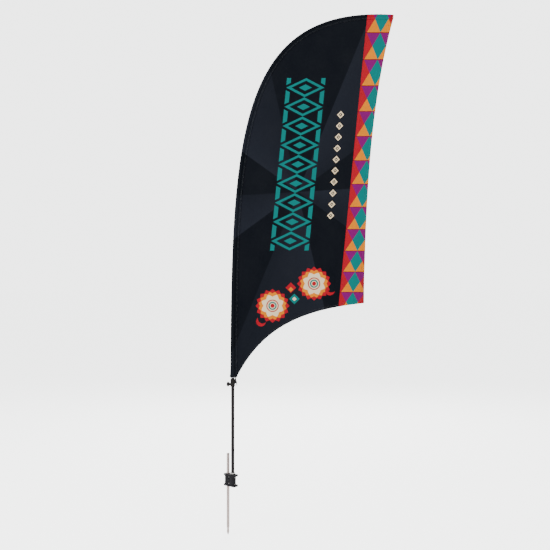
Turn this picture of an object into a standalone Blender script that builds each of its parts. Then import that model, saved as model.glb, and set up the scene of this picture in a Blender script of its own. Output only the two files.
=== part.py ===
"""Razor-top feather flag on a ground stake.

A double-sided flag rides on a sectional pole whose top bends over to a nearly level edge. The pole drops
over a spindle, the spindle turns in a two-part bracket, and the bracket clamps to a steel ground stake.
Units are metres and +Z is up. The origin is on the stake's axis at the ground line. The flag lies in the
XZ plane with its fly edge towards +X, and +Y is its back.
"""

import math

import bmesh
import bpy
from mathutils import Matrix, Vector

# Clearances
GAP = 0.0003                   # between pieces that touch or slide on each other
LAYER_GAP = 0.0003             # between two layers of cloth

# Ground stake
STAKE_RADIUS = 0.00635         # half-inch bar
STAKE_ABOVE_GROUND = 0.146
STAKE_BELOW_GROUND = 0.226
STAKE_CHAMFER = 0.0014
STAKE_POINT_LENGTH = 0.018
STAKE_POINT_HALF_RADIUS = 0.0041   # halfway up the point
STAKE_BULGE_LENGTH = 0.012
STAKE_BULGE_RADIUS = 0.0057
STAKE_NECK_LENGTH = 0.0036
STAKE_NECK_RADIUS = 0.0044
STAKE_SHOULDER_LENGTH = 0.0072     # from the neck up to the full bar

# Bracket, in its own frame: x runs from the stake to the spindle, -y faces the front
AXIS_SPACING = 0.029           # stake axis to spindle axis
BRACKET_YAW = math.radians(-40.0)
BRACKET_HEIGHT = 0.054
FLANGE_BEYOND_STAKE = 0.0155   # flange plates beyond each of the two axes
FLANGE_BEYOND_SPINDLE = 0.0215
FLANGE_HALF_DEPTH = 0.0145
FLANGE_THICKNESS = 0.008
FLANGE_CORNER = 0.0025
STAKE_COLUMN_WALL = 0.0070
STAKE_RIB_REACH = 0.0012       # end rib beyond the stake's column
STAKE_RIB_HALF_DEPTH = 0.0060
SPINDLE_COLUMN_WALL = 0.0072
WEB_HALF_DEPTH = 0.009
CLAMP_BOSS_RADIUS = 0.0085
CLAMP_BOSS_PROUD = 0.0040      # beyond the web's face
SCREW_SPREAD = 0.014           # assembly screws above and below the clamp screw

# Fasteners: shank radius, head radius, head length, hexagon radius, nut length
ASSEMBLY_SCREW = {
    "shank": 0.0015, "head": 0.00275, "head_length": 0.0022, "nut": 0.0031, "nut_length": 0.0024,
}
CLAMP_SCREW = {
    "shank": 0.0025, "head": 0.0045, "head_length": 0.0050, "nut": 0.0046, "nut_length": 0.0040,
}
LOCK_SCREW = {"shank": 0.0013, "head": 0.00275, "head_length": 0.0018}
HEAD_CHAMFER = 0.0004
SHANK_CHAMFER = 0.0005
CLAMP_HEAD_SUNK = 0.0040       # clamp screw's head and nut below the faces that they sit in
CLAMP_HEAD_ROOM = 0.0012
CLAMP_NUT_SUNK = 0.0024
HEAD_ROOM = 0.0006             # round the assembly screws' heads and nuts
LOCK_SCREW_SIDE = 0.0045       # lock screws in front of the parting plane
LOCK_BOSS_RADIUS = 0.0038
LOCK_BOSS_PROUD = 0.0010
LOCK_SCREW_INSET = 0.0115      # lock screws from the bracket's two ends
SOCKET_RADIUS = 0.0022
SOCKET_DEPTH = 0.0028

# Spindle and its bearings
SPINDLE_RADIUS = 0.0050
BUSH_WALL = 0.0018
BUSH_LENGTH = 0.014
BUSH_FLANGE_WIDTH = 0.0019     # bush flange beyond the bush
BUSH_FLANGE_THICKNESS = 0.0015
WASHER_THICKNESS = 0.0010
SPINDLE_FLANGE_WIDTH = 0.0040  # spindle flange beyond the pole
SPINDLE_FLANGE_THICKNESS = 0.0045
SPIGOT_LENGTH = 0.110
SPIGOT_LEAD = 0.0022           # chamfer at the spigot's top
CLIP_WIDTH = 0.0022            # clip beyond the spindle
CLIP_THICKNESS = 0.0012
CLIP_GROOVE_DEPTH = 0.0010
CLIP_MOUTH_HALF_WIDTH = 0.0029
CLIP_RECESS = 0.0042           # clip and spindle end above the bracket's underside
SPINDLE_END_RECESS = 0.0012

# Pole
LOWER_TUBE_RADIUS = 0.0075
TUBE_WALL = 0.0013
ROD_TIP_RADIUS = 0.0024
FERRULE_WALL = 0.0006
FERRULE_LENGTH = 0.024
TIP_CAP_WALL = 0.0010
TIP_CAP_LENGTH = 0.016
TIP_CAP_END = 0.0020           # thickness of the cap's end

# Sweep of the pole's axis: a straight foot, then one curve over to the tip
FLAG_HEIGHT = 2.126            # pole tip above the ground line
FLAG_REACH = 0.716             # pole tip beyond the spindle axis
BEND_START = 0.500
LUFF_RISE = 1.087
PEAK_REACH = 0.687
PEAK_CROWN = 0.035
SWEEP_STEPS = 40               # equal steps of the curve
LOWER_TUBE_STEP = 5            # the steps at which the sections end
MIDDLE_TUBE_STEP = 17
JOINT_OVERLAP_STEPS = 1

# Flag
SLEEVE_FOOT = 0.494            # lower end of the sleeve above the ground line
SLEEVE_FOOT_SLACK = 0.0025     # sleeve's outside beyond the lower tube, at its mouth
SLEEVE_TIP_SLACK = 0.0032      # and beyond the rod, at its peak
SLEEVE_LEAST_SLACK = 0.0021     # and beyond each section at its joint
SLEEVE_WALL = 0.0006
POCKET_CORNER = 0.0017         # corner at the peak pocket's end
CLOTH = 0.0004
CLEW_HEIGHT = 0.827
CLEW_REACH = 0.5935            # lower fly corner beyond the spindle axis
PEAK_OVERHANG = 0.0110         # upper fly corner beyond the pole's tip
TACK_WIDTH = 0.0070            # flag beside the sleeve at its foot
FLY_LOWER_HANDLE = (0.0061, 0.400)
FLY_UPPER_HANDLE = (-0.112, -0.400)
FOOT_TACK_HANDLE = (0.100, 0.188)
FOOT_CLEW_HANDLE = (-0.336, -0.0335)
EDGE_STEPS = 16

# Tail: a binding at the sleeve's mouth and an elastic loop down to the collar's horn
BINDING_HEIGHT = 0.0035
BINDING_WALL = 0.0010
LOOP_WIDTH = 0.0050
LOOP_THICKNESS = 0.0012
LOOP_TOP_HALF_WIDTH = 0.0022

# Tension collar
COLLAR_TOP = 0.484
COLLAR_HEIGHT = 0.032
COLLAR_WALL = 0.0027
HORN_HALF_WIDTH = 0.0035
HORN_NOTCH_HEIGHT = 0.0180     # notch ceiling below the collar's top
HORN_NOTCH_WIDTH = 0.0056
HORN_REACH = 0.0092            # horn's outer face beyond the collar's
HORN_DROP = 0.0290             # horn's tip below the collar's top
HORN_CREST = (0.0030, 0.0012)  # points of the horn's back: beyond the collar, and below its top
HORN_BACK = (0.0074, 0.0085)
HORN_BELLY_DROP = 0.0209
HORN_TIP = (0.0088, 0.0070)    # the tip's outer and inner corner beyond the collar
HORN_TIP_SLOPE = 0.0015
HORN_THROAT_DROP = 0.0186
BOSS_RADIUS = 0.0062
BOSS_PROUD = 0.0012
KNOB_LENGTH = 0.0150
KNOB_HALF_HEIGHT = 0.0105
KNOB_THICKNESS = 0.0056
KNOB_EDGE = 0.0014
HUB_RADIUS = 0.0058
HUB_LENGTH = 0.0091
THUMB_SHANK_RADIUS = 0.0020
THUMB_SHANK_IN_KNOB = 0.0080
INSERT_WALL = 0.0014
THUMB_HEIGHT = 0.0225          # thumb screw below the collar's top

# Facets round a turned piece
SIDES = 32
TUBE_RESOLUTION = 6            # bevel resolution of the pole tubes, for 16 sides
SLEEVE_RESOLUTION = 4          # and of the sleeve, for 12
CUT_MARGIN = 0.002             # cutters run this far past what they cut

# Heights that follow from the stack on the bracket
UPPER_BUSH_TOP = BRACKET_HEIGHT + GAP + BUSH_FLANGE_THICKNESS
WASHER_BOTTOM = UPPER_BUSH_TOP + GAP
SPINDLE_FLANGE_BOTTOM = WASHER_BOTTOM + WASHER_THICKNESS + GAP
SPINDLE_FLANGE_TOP = SPINDLE_FLANGE_BOTTOM + SPINDLE_FLANGE_THICKNESS
POLE_FOOT = SPINDLE_FLANGE_TOP + GAP
CLIP_BOTTOM = CLIP_RECESS - CLIP_THICKNESS - GAP
LOWER_BUSH_BOTTOM = CLIP_RECESS

# Radii that follow from the fits
BUSH_BORE = SPINDLE_RADIUS + GAP
BUSH_RADIUS = BUSH_BORE + BUSH_WALL
BUSH_SEAT = BUSH_RADIUS + GAP
BUSH_FLANGE_RADIUS = BUSH_RADIUS + BUSH_FLANGE_WIDTH
CLIP_RADIUS = SPINDLE_RADIUS + CLIP_WIDTH
SPINDLE_FLANGE_RADIUS = LOWER_TUBE_RADIUS + SPINDLE_FLANGE_WIDTH
STAKE_COLUMN_RADIUS = STAKE_RADIUS + GAP + STAKE_COLUMN_WALL
SPINDLE_COLUMN_RADIUS = BUSH_SEAT + SPINDLE_COLUMN_WALL
LOWER_TUBE_BORE = LOWER_TUBE_RADIUS - TUBE_WALL
SPIGOT_RADIUS = LOWER_TUBE_BORE - GAP
MIDDLE_TUBE_RADIUS = LOWER_TUBE_BORE - GAP
MIDDLE_TUBE_BORE = MIDDLE_TUBE_RADIUS - TUBE_WALL
ROD_RADIUS = MIDDLE_TUBE_BORE - GAP
SLEEVE_FOOT_RADIUS = LOWER_TUBE_RADIUS + SLEEVE_FOOT_SLACK
SLEEVE_TIP_RADIUS = ROD_TIP_RADIUS + SLEEVE_TIP_SLACK
COLLAR_BORE = LOWER_TUBE_RADIUS + GAP
COLLAR_RADIUS = COLLAR_BORE + COLLAR_WALL
INSERT_BORE = THUMB_SHANK_RADIUS + GAP
INSERT_RADIUS = INSERT_BORE + INSERT_WALL

WEB_CENTRE = AXIS_SPACING / 2
CLAMP_HEIGHT = BRACKET_HEIGHT / 2
THUMB_Z = COLLAR_TOP - THUMB_HEIGHT
BINDING_TOP = SLEEVE_FOOT - GAP
BINDING_BOTTOM = BINDING_TOP - BINDING_HEIGHT


# --- scene set-up -----------------------------------------------------------------------------------------

def clear_scene():
    """Remove every object, so that the script can be run again."""
    for old in list(bpy.data.objects):
        bpy.data.objects.remove(old, do_unlink=True)


def new_collection(name):
    """Return a fresh collection under the scene."""
    old = bpy.data.collections.get(name)
    if old:
        bpy.data.collections.remove(old)
    made = bpy.data.collections.new(name)
    bpy.context.scene.collection.children.link(made)
    return made


def new_empty(name, location, yaw=0.0):
    """Return an empty that carries the pieces on one axis."""
    empty = bpy.data.objects.new(name, None)
    empty.location = location
    empty.rotation_euler = (0.0, 0.0, yaw)
    empty.empty_display_size = 0.02
    PARTS.objects.link(empty)
    return empty


def new_material(name, colour, roughness, metallic=0.0):
    """Return a Principled material."""
    material = bpy.data.materials.new(name)
    material.use_nodes = True
    shader = material.node_tree.nodes["Principled BSDF"]
    shader.inputs["Base Color"].default_value = (*colour, 1.0)
    shader.inputs["Roughness"].default_value = roughness
    shader.inputs["Metallic"].default_value = metallic
    material.diffuse_color = (*colour, 1.0)
    return material


def place(obj, parent, material, location=(0.0, 0.0, 0.0)):
    """Put a finished piece on its parent and give it its own material."""
    obj.parent = parent
    obj.location = Vector(location)
    obj.data.materials.clear()
    obj.data.materials.append(material)
    obj.data.shade_smooth()
    obj.data.set_sharp_from_angle(angle=math.radians(32))
    return obj


# --- shapes -----------------------------------------------------------------------------------------------

def mesh_object(name, mesh, collection=None):
    """Link a mesh as a new object."""
    obj = bpy.data.objects.new(name, mesh)
    (collection or PARTS).objects.link(obj)
    return obj


def from_bmesh(name, bm, collection=None):
    """Turn a bmesh into a new object, its faces pointing out."""
    bmesh.ops.recalc_face_normals(bm, faces=bm.faces)
    mesh = bpy.data.meshes.new(name)
    bm.to_mesh(mesh)
    bm.free()
    return mesh_object(name, mesh, collection)


def evaluated_copy(obj):
    """Return the mesh that an object's modifiers make, and remove the object."""
    bpy.context.view_layer.update()
    seen = obj.evaluated_get(bpy.context.evaluated_depsgraph_get())
    mesh = bpy.data.meshes.new_from_object(seen)
    mesh.transform(obj.matrix_world)
    bpy.data.objects.remove(obj, do_unlink=True)
    return mesh


def weld(mesh, distance=1e-6):
    """Join the points of a mesh that coincide."""
    bm = bmesh.new()
    bm.from_mesh(mesh)
    bmesh.ops.remove_doubles(bm, verts=bm.verts, dist=distance)
    bmesh.ops.recalc_face_normals(bm, faces=bm.faces)
    bm.to_mesh(mesh)
    bm.free()
    return mesh


def turned(name, profile, collection=None, sides=SIDES):
    """Turn an (r, z) profile about Z. It runs down the outer side, top to bottom."""
    mesh = bpy.data.meshes.new(name)
    points = [(radius, 0.0, z) for radius, z in profile]
    closed = profile[0] == profile[-1]
    if closed:
        points = points[:-1]
    edges = [(i, i + 1) for i in range(len(points) - 1)]
    if closed:
        edges.append((len(points) - 1, 0))
    mesh.from_pydata(points, edges, [])
    raw = mesh_object(name + "_profile", mesh, collection)
    screw = raw.modifiers.new("Turn", "SCREW")
    screw.axis = "Z"
    screw.steps = sides
    screw.render_steps = sides
    screw.use_merge_vertices = True
    screw.merge_threshold = 1e-5
    return mesh_object(name, weld(evaluated_copy(raw)), collection)


def ring_profile(outer, inner, top, bottom):
    """Return the closed profile of a plain ring."""
    return [(outer, top), (outer, bottom), (inner, bottom), (inner, top), (outer, top)]


def cylinder(name, radius, start, end, collection=None, sides=SIDES):
    """Return a cylinder that runs from one point to another."""
    start = Vector(start)
    end = Vector(end)
    span = end - start
    turn = span.to_track_quat("Z", "Y").to_matrix().to_4x4()
    bm = bmesh.new()
    bmesh.ops.create_cone(
        bm, cap_ends=True, segments=sides, radius1=radius, radius2=radius, depth=span.length,
        matrix=Matrix.Translation((start + end) / 2) @ turn,
    )
    return from_bmesh(name, bm, collection)


def box(name, low, high, collection=None):
    """Return a box between two corners."""
    low = Vector(low)
    high = Vector(high)
    size = high - low
    bm = bmesh.new()
    place_box = Matrix.Translation((low + high) / 2) @ Matrix.Diagonal((*size, 1.0))
    bmesh.ops.create_cube(bm, size=1.0, matrix=place_box)
    return from_bmesh(name, bm, collection)


def plate(name, outlines, thickness, matrix, collection=None):
    """Extrude flat outlines, the second and later ones being holes, and turn them into place."""
    curve = bpy.data.curves.new(name, "CURVE")
    curve.dimensions = "2D"
    curve.fill_mode = "BOTH"
    curve.extrude = thickness / 2
    for outline in outlines:
        spline = curve.splines.new("POLY")
        spline.points.add(len(outline) - 1)
        for point, (u, v) in zip(spline.points, outline):
            point.co = (u, v, 0.0, 1.0)
        spline.use_cyclic_u = True
    raw = mesh_object(name + "_outline", curve, collection)
    mesh = evaluated_copy(raw)
    mesh.transform(matrix)
    return mesh_object(name, weld(mesh), collection)


def swept_tube(name, points, radii, wall=0.0, resolution=TUBE_RESOLUTION):
    """Sweep a round section along points in space. With a wall, the tube is hollow and open-ended."""
    curve = bpy.data.curves.new(name, "CURVE")
    curve.dimensions = "3D"
    curve.bevel_depth = 1.0
    curve.bevel_resolution = resolution
    curve.use_fill_caps = wall == 0.0
    spline = curve.splines.new("POLY")
    spline.points.add(len(points) - 1)
    for point, place_at, radius in zip(spline.points, points, radii):
        point.co = (*place_at, 1.0)
        point.radius = radius
    raw = mesh_object(name + "_path", curve)
    tube = mesh_object(name, weld(evaluated_copy(raw)))
    if wall:
        shell = tube.modifiers.new("Wall", "SOLIDIFY")
        shell.thickness = wall
        shell.offset = -1.0
        shell.use_even_offset = True
    return tube


def combine(target, other, operation):
    """Join or cut a piece with another one, which is used up."""
    step = target.modifiers.new(operation.title(), "BOOLEAN")
    step.operation = operation
    step.solver = "EXACT"
    step.object = other
    bpy.context.view_layer.update()
    seen = target.evaluated_get(bpy.context.evaluated_depsgraph_get())
    mesh = weld(bpy.data.meshes.new_from_object(seen))
    target.modifiers.clear()
    target.data = mesh
    bpy.data.objects.remove(other, do_unlink=True)
    return target


def add(target, other):
    """Join another shape to a piece."""
    return combine(target, other, "UNION")


def cut(target, other):
    """Cut another shape out of a piece."""
    return combine(target, other, "DIFFERENCE")


STAND_UP = Matrix(((1, 0, 0, 0), (0, 0, -1, 0), (0, 1, 0, 0), (0, 0, 0, 1)))    # (u, v) becomes (x, z)
FACE_ACROSS = Matrix(((0, 0, 1, 0), (1, 0, 0, 0), (0, 1, 0, 0), (0, 0, 0, 1)))   # (u, v) becomes (y, z)


# --- the pole's sweep and the flag's outline --------------------------------------------------------------

def bezier(points, t):
    """Return a point of a cubic curve in the flag's plane."""
    a, b, c, d = (Vector(p) for p in points)
    s = 1.0 - t
    return a * s ** 3 + b * (3 * s * s * t) + c * (3 * s * t * t) + d * t ** 3


SWEEP = (
    (0.0, BEND_START),
    (0.0, BEND_START + LUFF_RISE),
    (FLAG_REACH - PEAK_REACH, FLAG_HEIGHT + PEAK_CROWN),
    (FLAG_REACH, FLAG_HEIGHT),
)


def sweep_point(step):
    """Return the pole's axis at a step of its curve, as (x, z)."""
    return bezier(SWEEP, step / SWEEP_STEPS)


def sweep_inward(step):
    """Return the direction from the pole's axis into the flag."""
    before = sweep_point(max(step - 0.5, 0.0))
    after = sweep_point(min(step + 0.5, SWEEP_STEPS))
    along = (after - before).normalized()
    return Vector((along.y, -along.x))


def sweep_path(first, last):
    """Return the axis points from one whole step to another."""
    return [(p.x, 0.0, p.y) for p in (sweep_point(step) for step in range(first, last + 1))]


def sleeve_radius(step):
    """Return the sleeve's outer radius at a step: a straight taper that stays clear of the joints."""
    taper = SLEEVE_FOOT_RADIUS + (SLEEVE_TIP_RADIUS - SLEEVE_FOOT_RADIUS) * step / SWEEP_STEPS
    inside = ROD_TIP_RADIUS
    if step <= MIDDLE_TUBE_STEP:
        inside = MIDDLE_TUBE_RADIUS
    if step <= LOWER_TUBE_STEP:
        inside = LOWER_TUBE_RADIUS
    return max(taper, inside + SLEEVE_LEAST_SLACK)


def flag_outline():
    """Return the flag's outline beside its sleeve, as (x, z) points."""
    beside = SLEEVE_FOOT_RADIUS + LAYER_GAP
    tack_inner = Vector((beside, SLEEVE_FOOT))
    tack = Vector((beside + TACK_WIDTH, SLEEVE_FOOT))
    clew = Vector((CLEW_REACH, CLEW_HEIGHT))
    luff = []
    for step in range(SWEEP_STEPS + 1):
        offset = sleeve_radius(step) + LAYER_GAP
        luff.append(sweep_point(step) + sweep_inward(step) * offset)
    luff = [p for p in luff if p.y > SLEEVE_FOOT + CUT_MARGIN]
    peak = Vector((FLAG_REACH + PEAK_OVERHANG, luff[-1].y))
    fly = (peak, peak + Vector(FLY_UPPER_HANDLE), clew + Vector(FLY_LOWER_HANDLE), clew)
    foot = (clew, clew + Vector(FOOT_CLEW_HANDLE), tack + Vector(FOOT_TACK_HANDLE), tack)
    edge = [bezier(fly, i / EDGE_STEPS) for i in range(EDGE_STEPS)]
    hem = [bezier(foot, i / EDGE_STEPS) for i in range(EDGE_STEPS)]
    return [tack_inner, *luff, *edge, *hem, tack]


# --- stake ------------------------------------------------------------------------------------------------

def make_ground_stake():
    """Steel bar with a chamfered head and a necked point."""
    top = STAKE_ABOVE_GROUND
    tip = -STAKE_BELOW_GROUND
    bulge = tip + STAKE_POINT_LENGTH
    neck = bulge + STAKE_BULGE_LENGTH
    profile = [
        (0.0, top),
        (STAKE_RADIUS - STAKE_CHAMFER, top),
        (STAKE_RADIUS, top - STAKE_CHAMFER),
        (STAKE_RADIUS, neck + STAKE_SHOULDER_LENGTH),
        (STAKE_NECK_RADIUS, neck),
        (STAKE_NECK_RADIUS, neck - STAKE_NECK_LENGTH),
        (STAKE_BULGE_RADIUS, bulge),
        (STAKE_POINT_HALF_RADIUS, (bulge + tip) / 2),
        (0.0, tip),
    ]
    steel = new_material("zinc_plated_steel", (0.66, 0.61, 0.58), 0.30, 1.0)
    place(turned("ground_stake", profile), BRACKET, steel)


# --- bracket ----------------------------------------------------------------------------------------------

def flange_outline():
    """Return a flange plate's outline, as (x, y) points with cut corners."""
    left = -FLANGE_BEYOND_STAKE
    right = AXIS_SPACING + FLANGE_BEYOND_SPINDLE
    deep = FLANGE_HALF_DEPTH
    corner = FLANGE_CORNER
    return [
        (left + corner, -deep), (right - corner, -deep), (right, -deep + corner), (right, deep - corner),
        (right - corner, deep), (left + corner, deep), (left, deep - corner), (left, -deep + corner),
    ]


def through_y(name, radius, x, z, start, end, sides=SIDES):
    """Return a cylinder across the bracket."""
    return cylinder(name, radius, (x, start, z), (x, end, z), sides=sides)


def assembly_heights():
    """Return the heights of the two assembly screws."""
    return {"upper": CLAMP_HEIGHT + SCREW_SPREAD, "lower": CLAMP_HEIGHT - SCREW_SPREAD}


def lock_heights():
    """Return the heights of the two bush lock screws."""
    return {"upper": BRACKET_HEIGHT - LOCK_SCREW_INSET, "lower": LOCK_SCREW_INSET}


def lock_boss_end():
    """Return how far the lock screws' bosses reach along x."""
    return AXIS_SPACING + SPINDLE_COLUMN_RADIUS + LOCK_BOSS_PROUD


def whole_bracket():
    """Return both bracket halves as one block, bored for the stake, the bushes and the screws."""
    body = box("bracket_block", (0, -WEB_HALF_DEPTH, 0), (AXIS_SPACING, WEB_HALF_DEPTH, BRACKET_HEIGHT))
    add(body, cylinder("stake_column", STAKE_COLUMN_RADIUS, (0, 0, 0), (0, 0, BRACKET_HEIGHT)))
    rib_low = (-STAKE_COLUMN_RADIUS - STAKE_RIB_REACH, -STAKE_RIB_HALF_DEPTH, 0)
    add(body, box("stake_rib", rib_low, (0, STAKE_RIB_HALF_DEPTH, BRACKET_HEIGHT)))
    spindle_top = (AXIS_SPACING, 0, BRACKET_HEIGHT)
    add(body, cylinder("spindle_column", SPINDLE_COLUMN_RADIUS, (AXIS_SPACING, 0, 0), spindle_top))
    for middle in (FLANGE_THICKNESS / 2, BRACKET_HEIGHT - FLANGE_THICKNESS / 2):
        lift = Matrix.Translation((0, 0, middle))
        add(body, plate("flange_plate", [flange_outline()], FLANGE_THICKNESS, lift))
    face = WEB_HALF_DEPTH + CLAMP_BOSS_PROUD
    add(body, through_y("clamp_boss", CLAMP_BOSS_RADIUS, WEB_CENTRE, CLAMP_HEIGHT, -face, 0))
    for height in lock_heights().values():
        start = (AXIS_SPACING, -LOCK_SCREW_SIDE, height)
        add(body, cylinder("lock_boss", LOCK_BOSS_RADIUS, start, (lock_boss_end(), -LOCK_SCREW_SIDE, height)))

    low = -CUT_MARGIN
    high = BRACKET_HEIGHT + CUT_MARGIN
    cut(body, cylinder("stake_bore", STAKE_RADIUS + GAP, (0, 0, low), (0, 0, high)))
    cut(body, cylinder("bush_seat", BUSH_SEAT, (AXIS_SPACING, 0, low), (AXIS_SPACING, 0, high)))
    recess_top = (AXIS_SPACING, 0, LOWER_BUSH_BOTTOM + BUSH_FLANGE_THICKNESS + GAP)
    cut(body, cylinder("clip_recess", BUSH_FLANGE_RADIUS + GAP, (AXIS_SPACING, 0, low), recess_top))

    clamp_head = CLAMP_SCREW["head"] + CLAMP_HEAD_ROOM
    clamp_floor = -face + CLAMP_HEAD_SUNK
    mouth = -face - CUT_MARGIN
    cut(body, through_y("clamp_recess", clamp_head, WEB_CENTRE, CLAMP_HEIGHT, mouth, clamp_floor))
    deep = FLANGE_HALF_DEPTH + CUT_MARGIN
    clamp_hole = CLAMP_SCREW["shank"] + GAP
    cut(body, through_y("clamp_hole", clamp_hole, WEB_CENTRE, CLAMP_HEIGHT, -deep, deep))
    clamp_nut = CLAMP_SCREW["nut"] + GAP
    seat = WEB_HALF_DEPTH - CLAMP_NUT_SUNK
    cut(body, through_y("clamp_nut_pocket", clamp_nut, WEB_CENTRE, CLAMP_HEIGHT, seat, deep, sides=6))
    for height in assembly_heights().values():
        shank = ASSEMBLY_SCREW["shank"] + GAP
        cut(body, through_y("assembly_hole", shank, WEB_CENTRE, height, -deep, deep, sides=16))
        head = ASSEMBLY_SCREW["head"] + HEAD_ROOM
        nut = ASSEMBLY_SCREW["nut"] + HEAD_ROOM
        cut(body, through_y("head_spotface", head, WEB_CENTRE, height, -deep, -WEB_HALF_DEPTH, sides=24))
        cut(body, through_y("nut_spotface", nut, WEB_CENTRE, height, WEB_HALF_DEPTH, deep, sides=24))
    for height in lock_heights().values():
        start = (AXIS_SPACING, -LOCK_SCREW_SIDE, height)
        end = (lock_boss_end() + CUT_MARGIN, -LOCK_SCREW_SIDE, height)
        cut(body, cylinder("lock_hole", LOCK_SCREW["shank"] + GAP, start, end, sides=16))
    return body


def make_bracket():
    """Split the bracket along the plane through both axes into a front and a rear half."""
    plastic = new_material("black_nylon", (0.035, 0.033, 0.040), 0.42)
    reach = AXIS_SPACING + FLANGE_BEYOND_SPINDLE + CUT_MARGIN
    deep = FLANGE_HALF_DEPTH + CUT_MARGIN
    for name, sign in (("bracket_front_half", -1), ("bracket_rear_half", 1)):
        half = whole_bracket()
        half.name = name
        near = (-reach, min(-sign * deep, sign * GAP / 2), -CUT_MARGIN)
        far = (reach, max(-sign * deep, sign * GAP / 2), BRACKET_HEIGHT + CUT_MARGIN)
        cut(half, box("other_half", near, far))
        half.data.name = name
        place(half, BRACKET, plastic)


def socket_screw(name, sizes, shank_length):
    """Return a socket-head screw whose head's seat is at the origin and whose shank runs along -Z."""
    head = sizes["head"]
    shank = sizes["shank"]
    length = sizes["head_length"]
    profile = [
        (0.0, length),
        (head - HEAD_CHAMFER, length),
        (head, length - HEAD_CHAMFER),
        (head, 0.0),
        (shank, 0.0),
        (shank, -shank_length + SHANK_CHAMFER),
        (shank - SHANK_CHAMFER, -shank_length),
        (0.0, -shank_length),
    ]
    screw = turned(name, profile, sides=24)
    socket = min(SOCKET_RADIUS, head / 2)
    depth = min(SOCKET_DEPTH, length / 2)
    top = (0, 0, length + CUT_MARGIN)
    return cut(screw, cylinder("socket", socket, (0, 0, length - depth), top, sides=6))


def point_along(obj, direction):
    """Turn a piece that stands on +Z so that it points along a direction."""
    obj.data.transform(Vector(direction).to_track_quat("Z", "Y").to_matrix().to_4x4())
    return obj


def hexagon_nut(name, sizes):
    """Return a nut whose inner face is at the origin and that grows along +Y."""
    nut = through_y(name, sizes["nut"], 0, 0, 0, sizes["nut_length"], sides=6)
    hole = sizes["shank"] + GAP
    return cut(nut, through_y("thread", hole, 0, 0, -CUT_MARGIN, sizes["nut_length"] + CUT_MARGIN, sides=16))


def make_fasteners():
    """Two assembly screws, the stake clamp screw and two bush lock screws, with their nuts."""
    steel = new_material("bright_zinc_screws", (0.72, 0.72, 0.74), 0.28, 1.0)
    front = -WEB_HALF_DEPTH - GAP
    rear = WEB_HALF_DEPTH + GAP
    for place_name, height in assembly_heights().items():
        length = rear - front + ASSEMBLY_SCREW["nut_length"]
        screw = socket_screw("assembly_screw_" + place_name, ASSEMBLY_SCREW, length)
        place(point_along(screw, (0, -1, 0)), BRACKET, steel, (WEB_CENTRE, front, height))
        nut = hexagon_nut("assembly_nut_" + place_name, ASSEMBLY_SCREW)
        place(nut, BRACKET, steel, (WEB_CENTRE, rear, height))
    for place_name, height in lock_heights().items():
        seat = lock_boss_end() + GAP
        length = seat - AXIS_SPACING - BUSH_SEAT - GAP
        screw = socket_screw("bush_lock_screw_" + place_name, LOCK_SCREW, length)
        place(point_along(screw, (1, 0, 0)), BRACKET, steel, (seat, -LOCK_SCREW_SIDE, height))

    clamp_front = -WEB_HALF_DEPTH - CLAMP_BOSS_PROUD + CLAMP_HEAD_SUNK - GAP
    nut_seat = WEB_HALF_DEPTH - CLAMP_NUT_SUNK + GAP
    length = nut_seat - clamp_front + CLAMP_SCREW["nut_length"] - GAP
    dark = new_material("black_oxide_steel", (0.09, 0.09, 0.10), 0.38, 1.0)
    clamp = socket_screw("stake_clamp_screw", CLAMP_SCREW, length)
    place(point_along(clamp, (0, -1, 0)), BRACKET, dark, (WEB_CENTRE, clamp_front, CLAMP_HEIGHT))
    nut = hexagon_nut("stake_clamp_nut", CLAMP_SCREW)
    place(nut, BRACKET, steel, (WEB_CENTRE, nut_seat, CLAMP_HEIGHT))


# --- spindle and bearings ---------------------------------------------------------------------------------

def make_bushes():
    """Two flanged plain bushes, pressed in from the bracket's ends."""
    nylon = new_material("bearing_nylon", (0.55, 0.54, 0.50), 0.45)
    upper = [
        (BUSH_FLANGE_RADIUS, UPPER_BUSH_TOP),
        (BUSH_FLANGE_RADIUS, UPPER_BUSH_TOP - BUSH_FLANGE_THICKNESS),
        (BUSH_RADIUS, UPPER_BUSH_TOP - BUSH_FLANGE_THICKNESS),
        (BUSH_RADIUS, UPPER_BUSH_TOP - BUSH_FLANGE_THICKNESS - BUSH_LENGTH),
        (BUSH_BORE, UPPER_BUSH_TOP - BUSH_FLANGE_THICKNESS - BUSH_LENGTH),
        (BUSH_BORE, UPPER_BUSH_TOP),
        (BUSH_FLANGE_RADIUS, UPPER_BUSH_TOP),
    ]
    place(turned("upper_spindle_bush", upper), SPINDLE, nylon)
    shoulder = LOWER_BUSH_BOTTOM + BUSH_FLANGE_THICKNESS
    lower = [
        (BUSH_RADIUS, shoulder + BUSH_LENGTH),
        (BUSH_RADIUS, shoulder),
        (BUSH_FLANGE_RADIUS, shoulder),
        (BUSH_FLANGE_RADIUS, LOWER_BUSH_BOTTOM),
        (BUSH_BORE, LOWER_BUSH_BOTTOM),
        (BUSH_BORE, shoulder + BUSH_LENGTH),
        (BUSH_RADIUS, shoulder + BUSH_LENGTH),
    ]
    place(turned("lower_spindle_bush", lower), SPINDLE, nylon)


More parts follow.
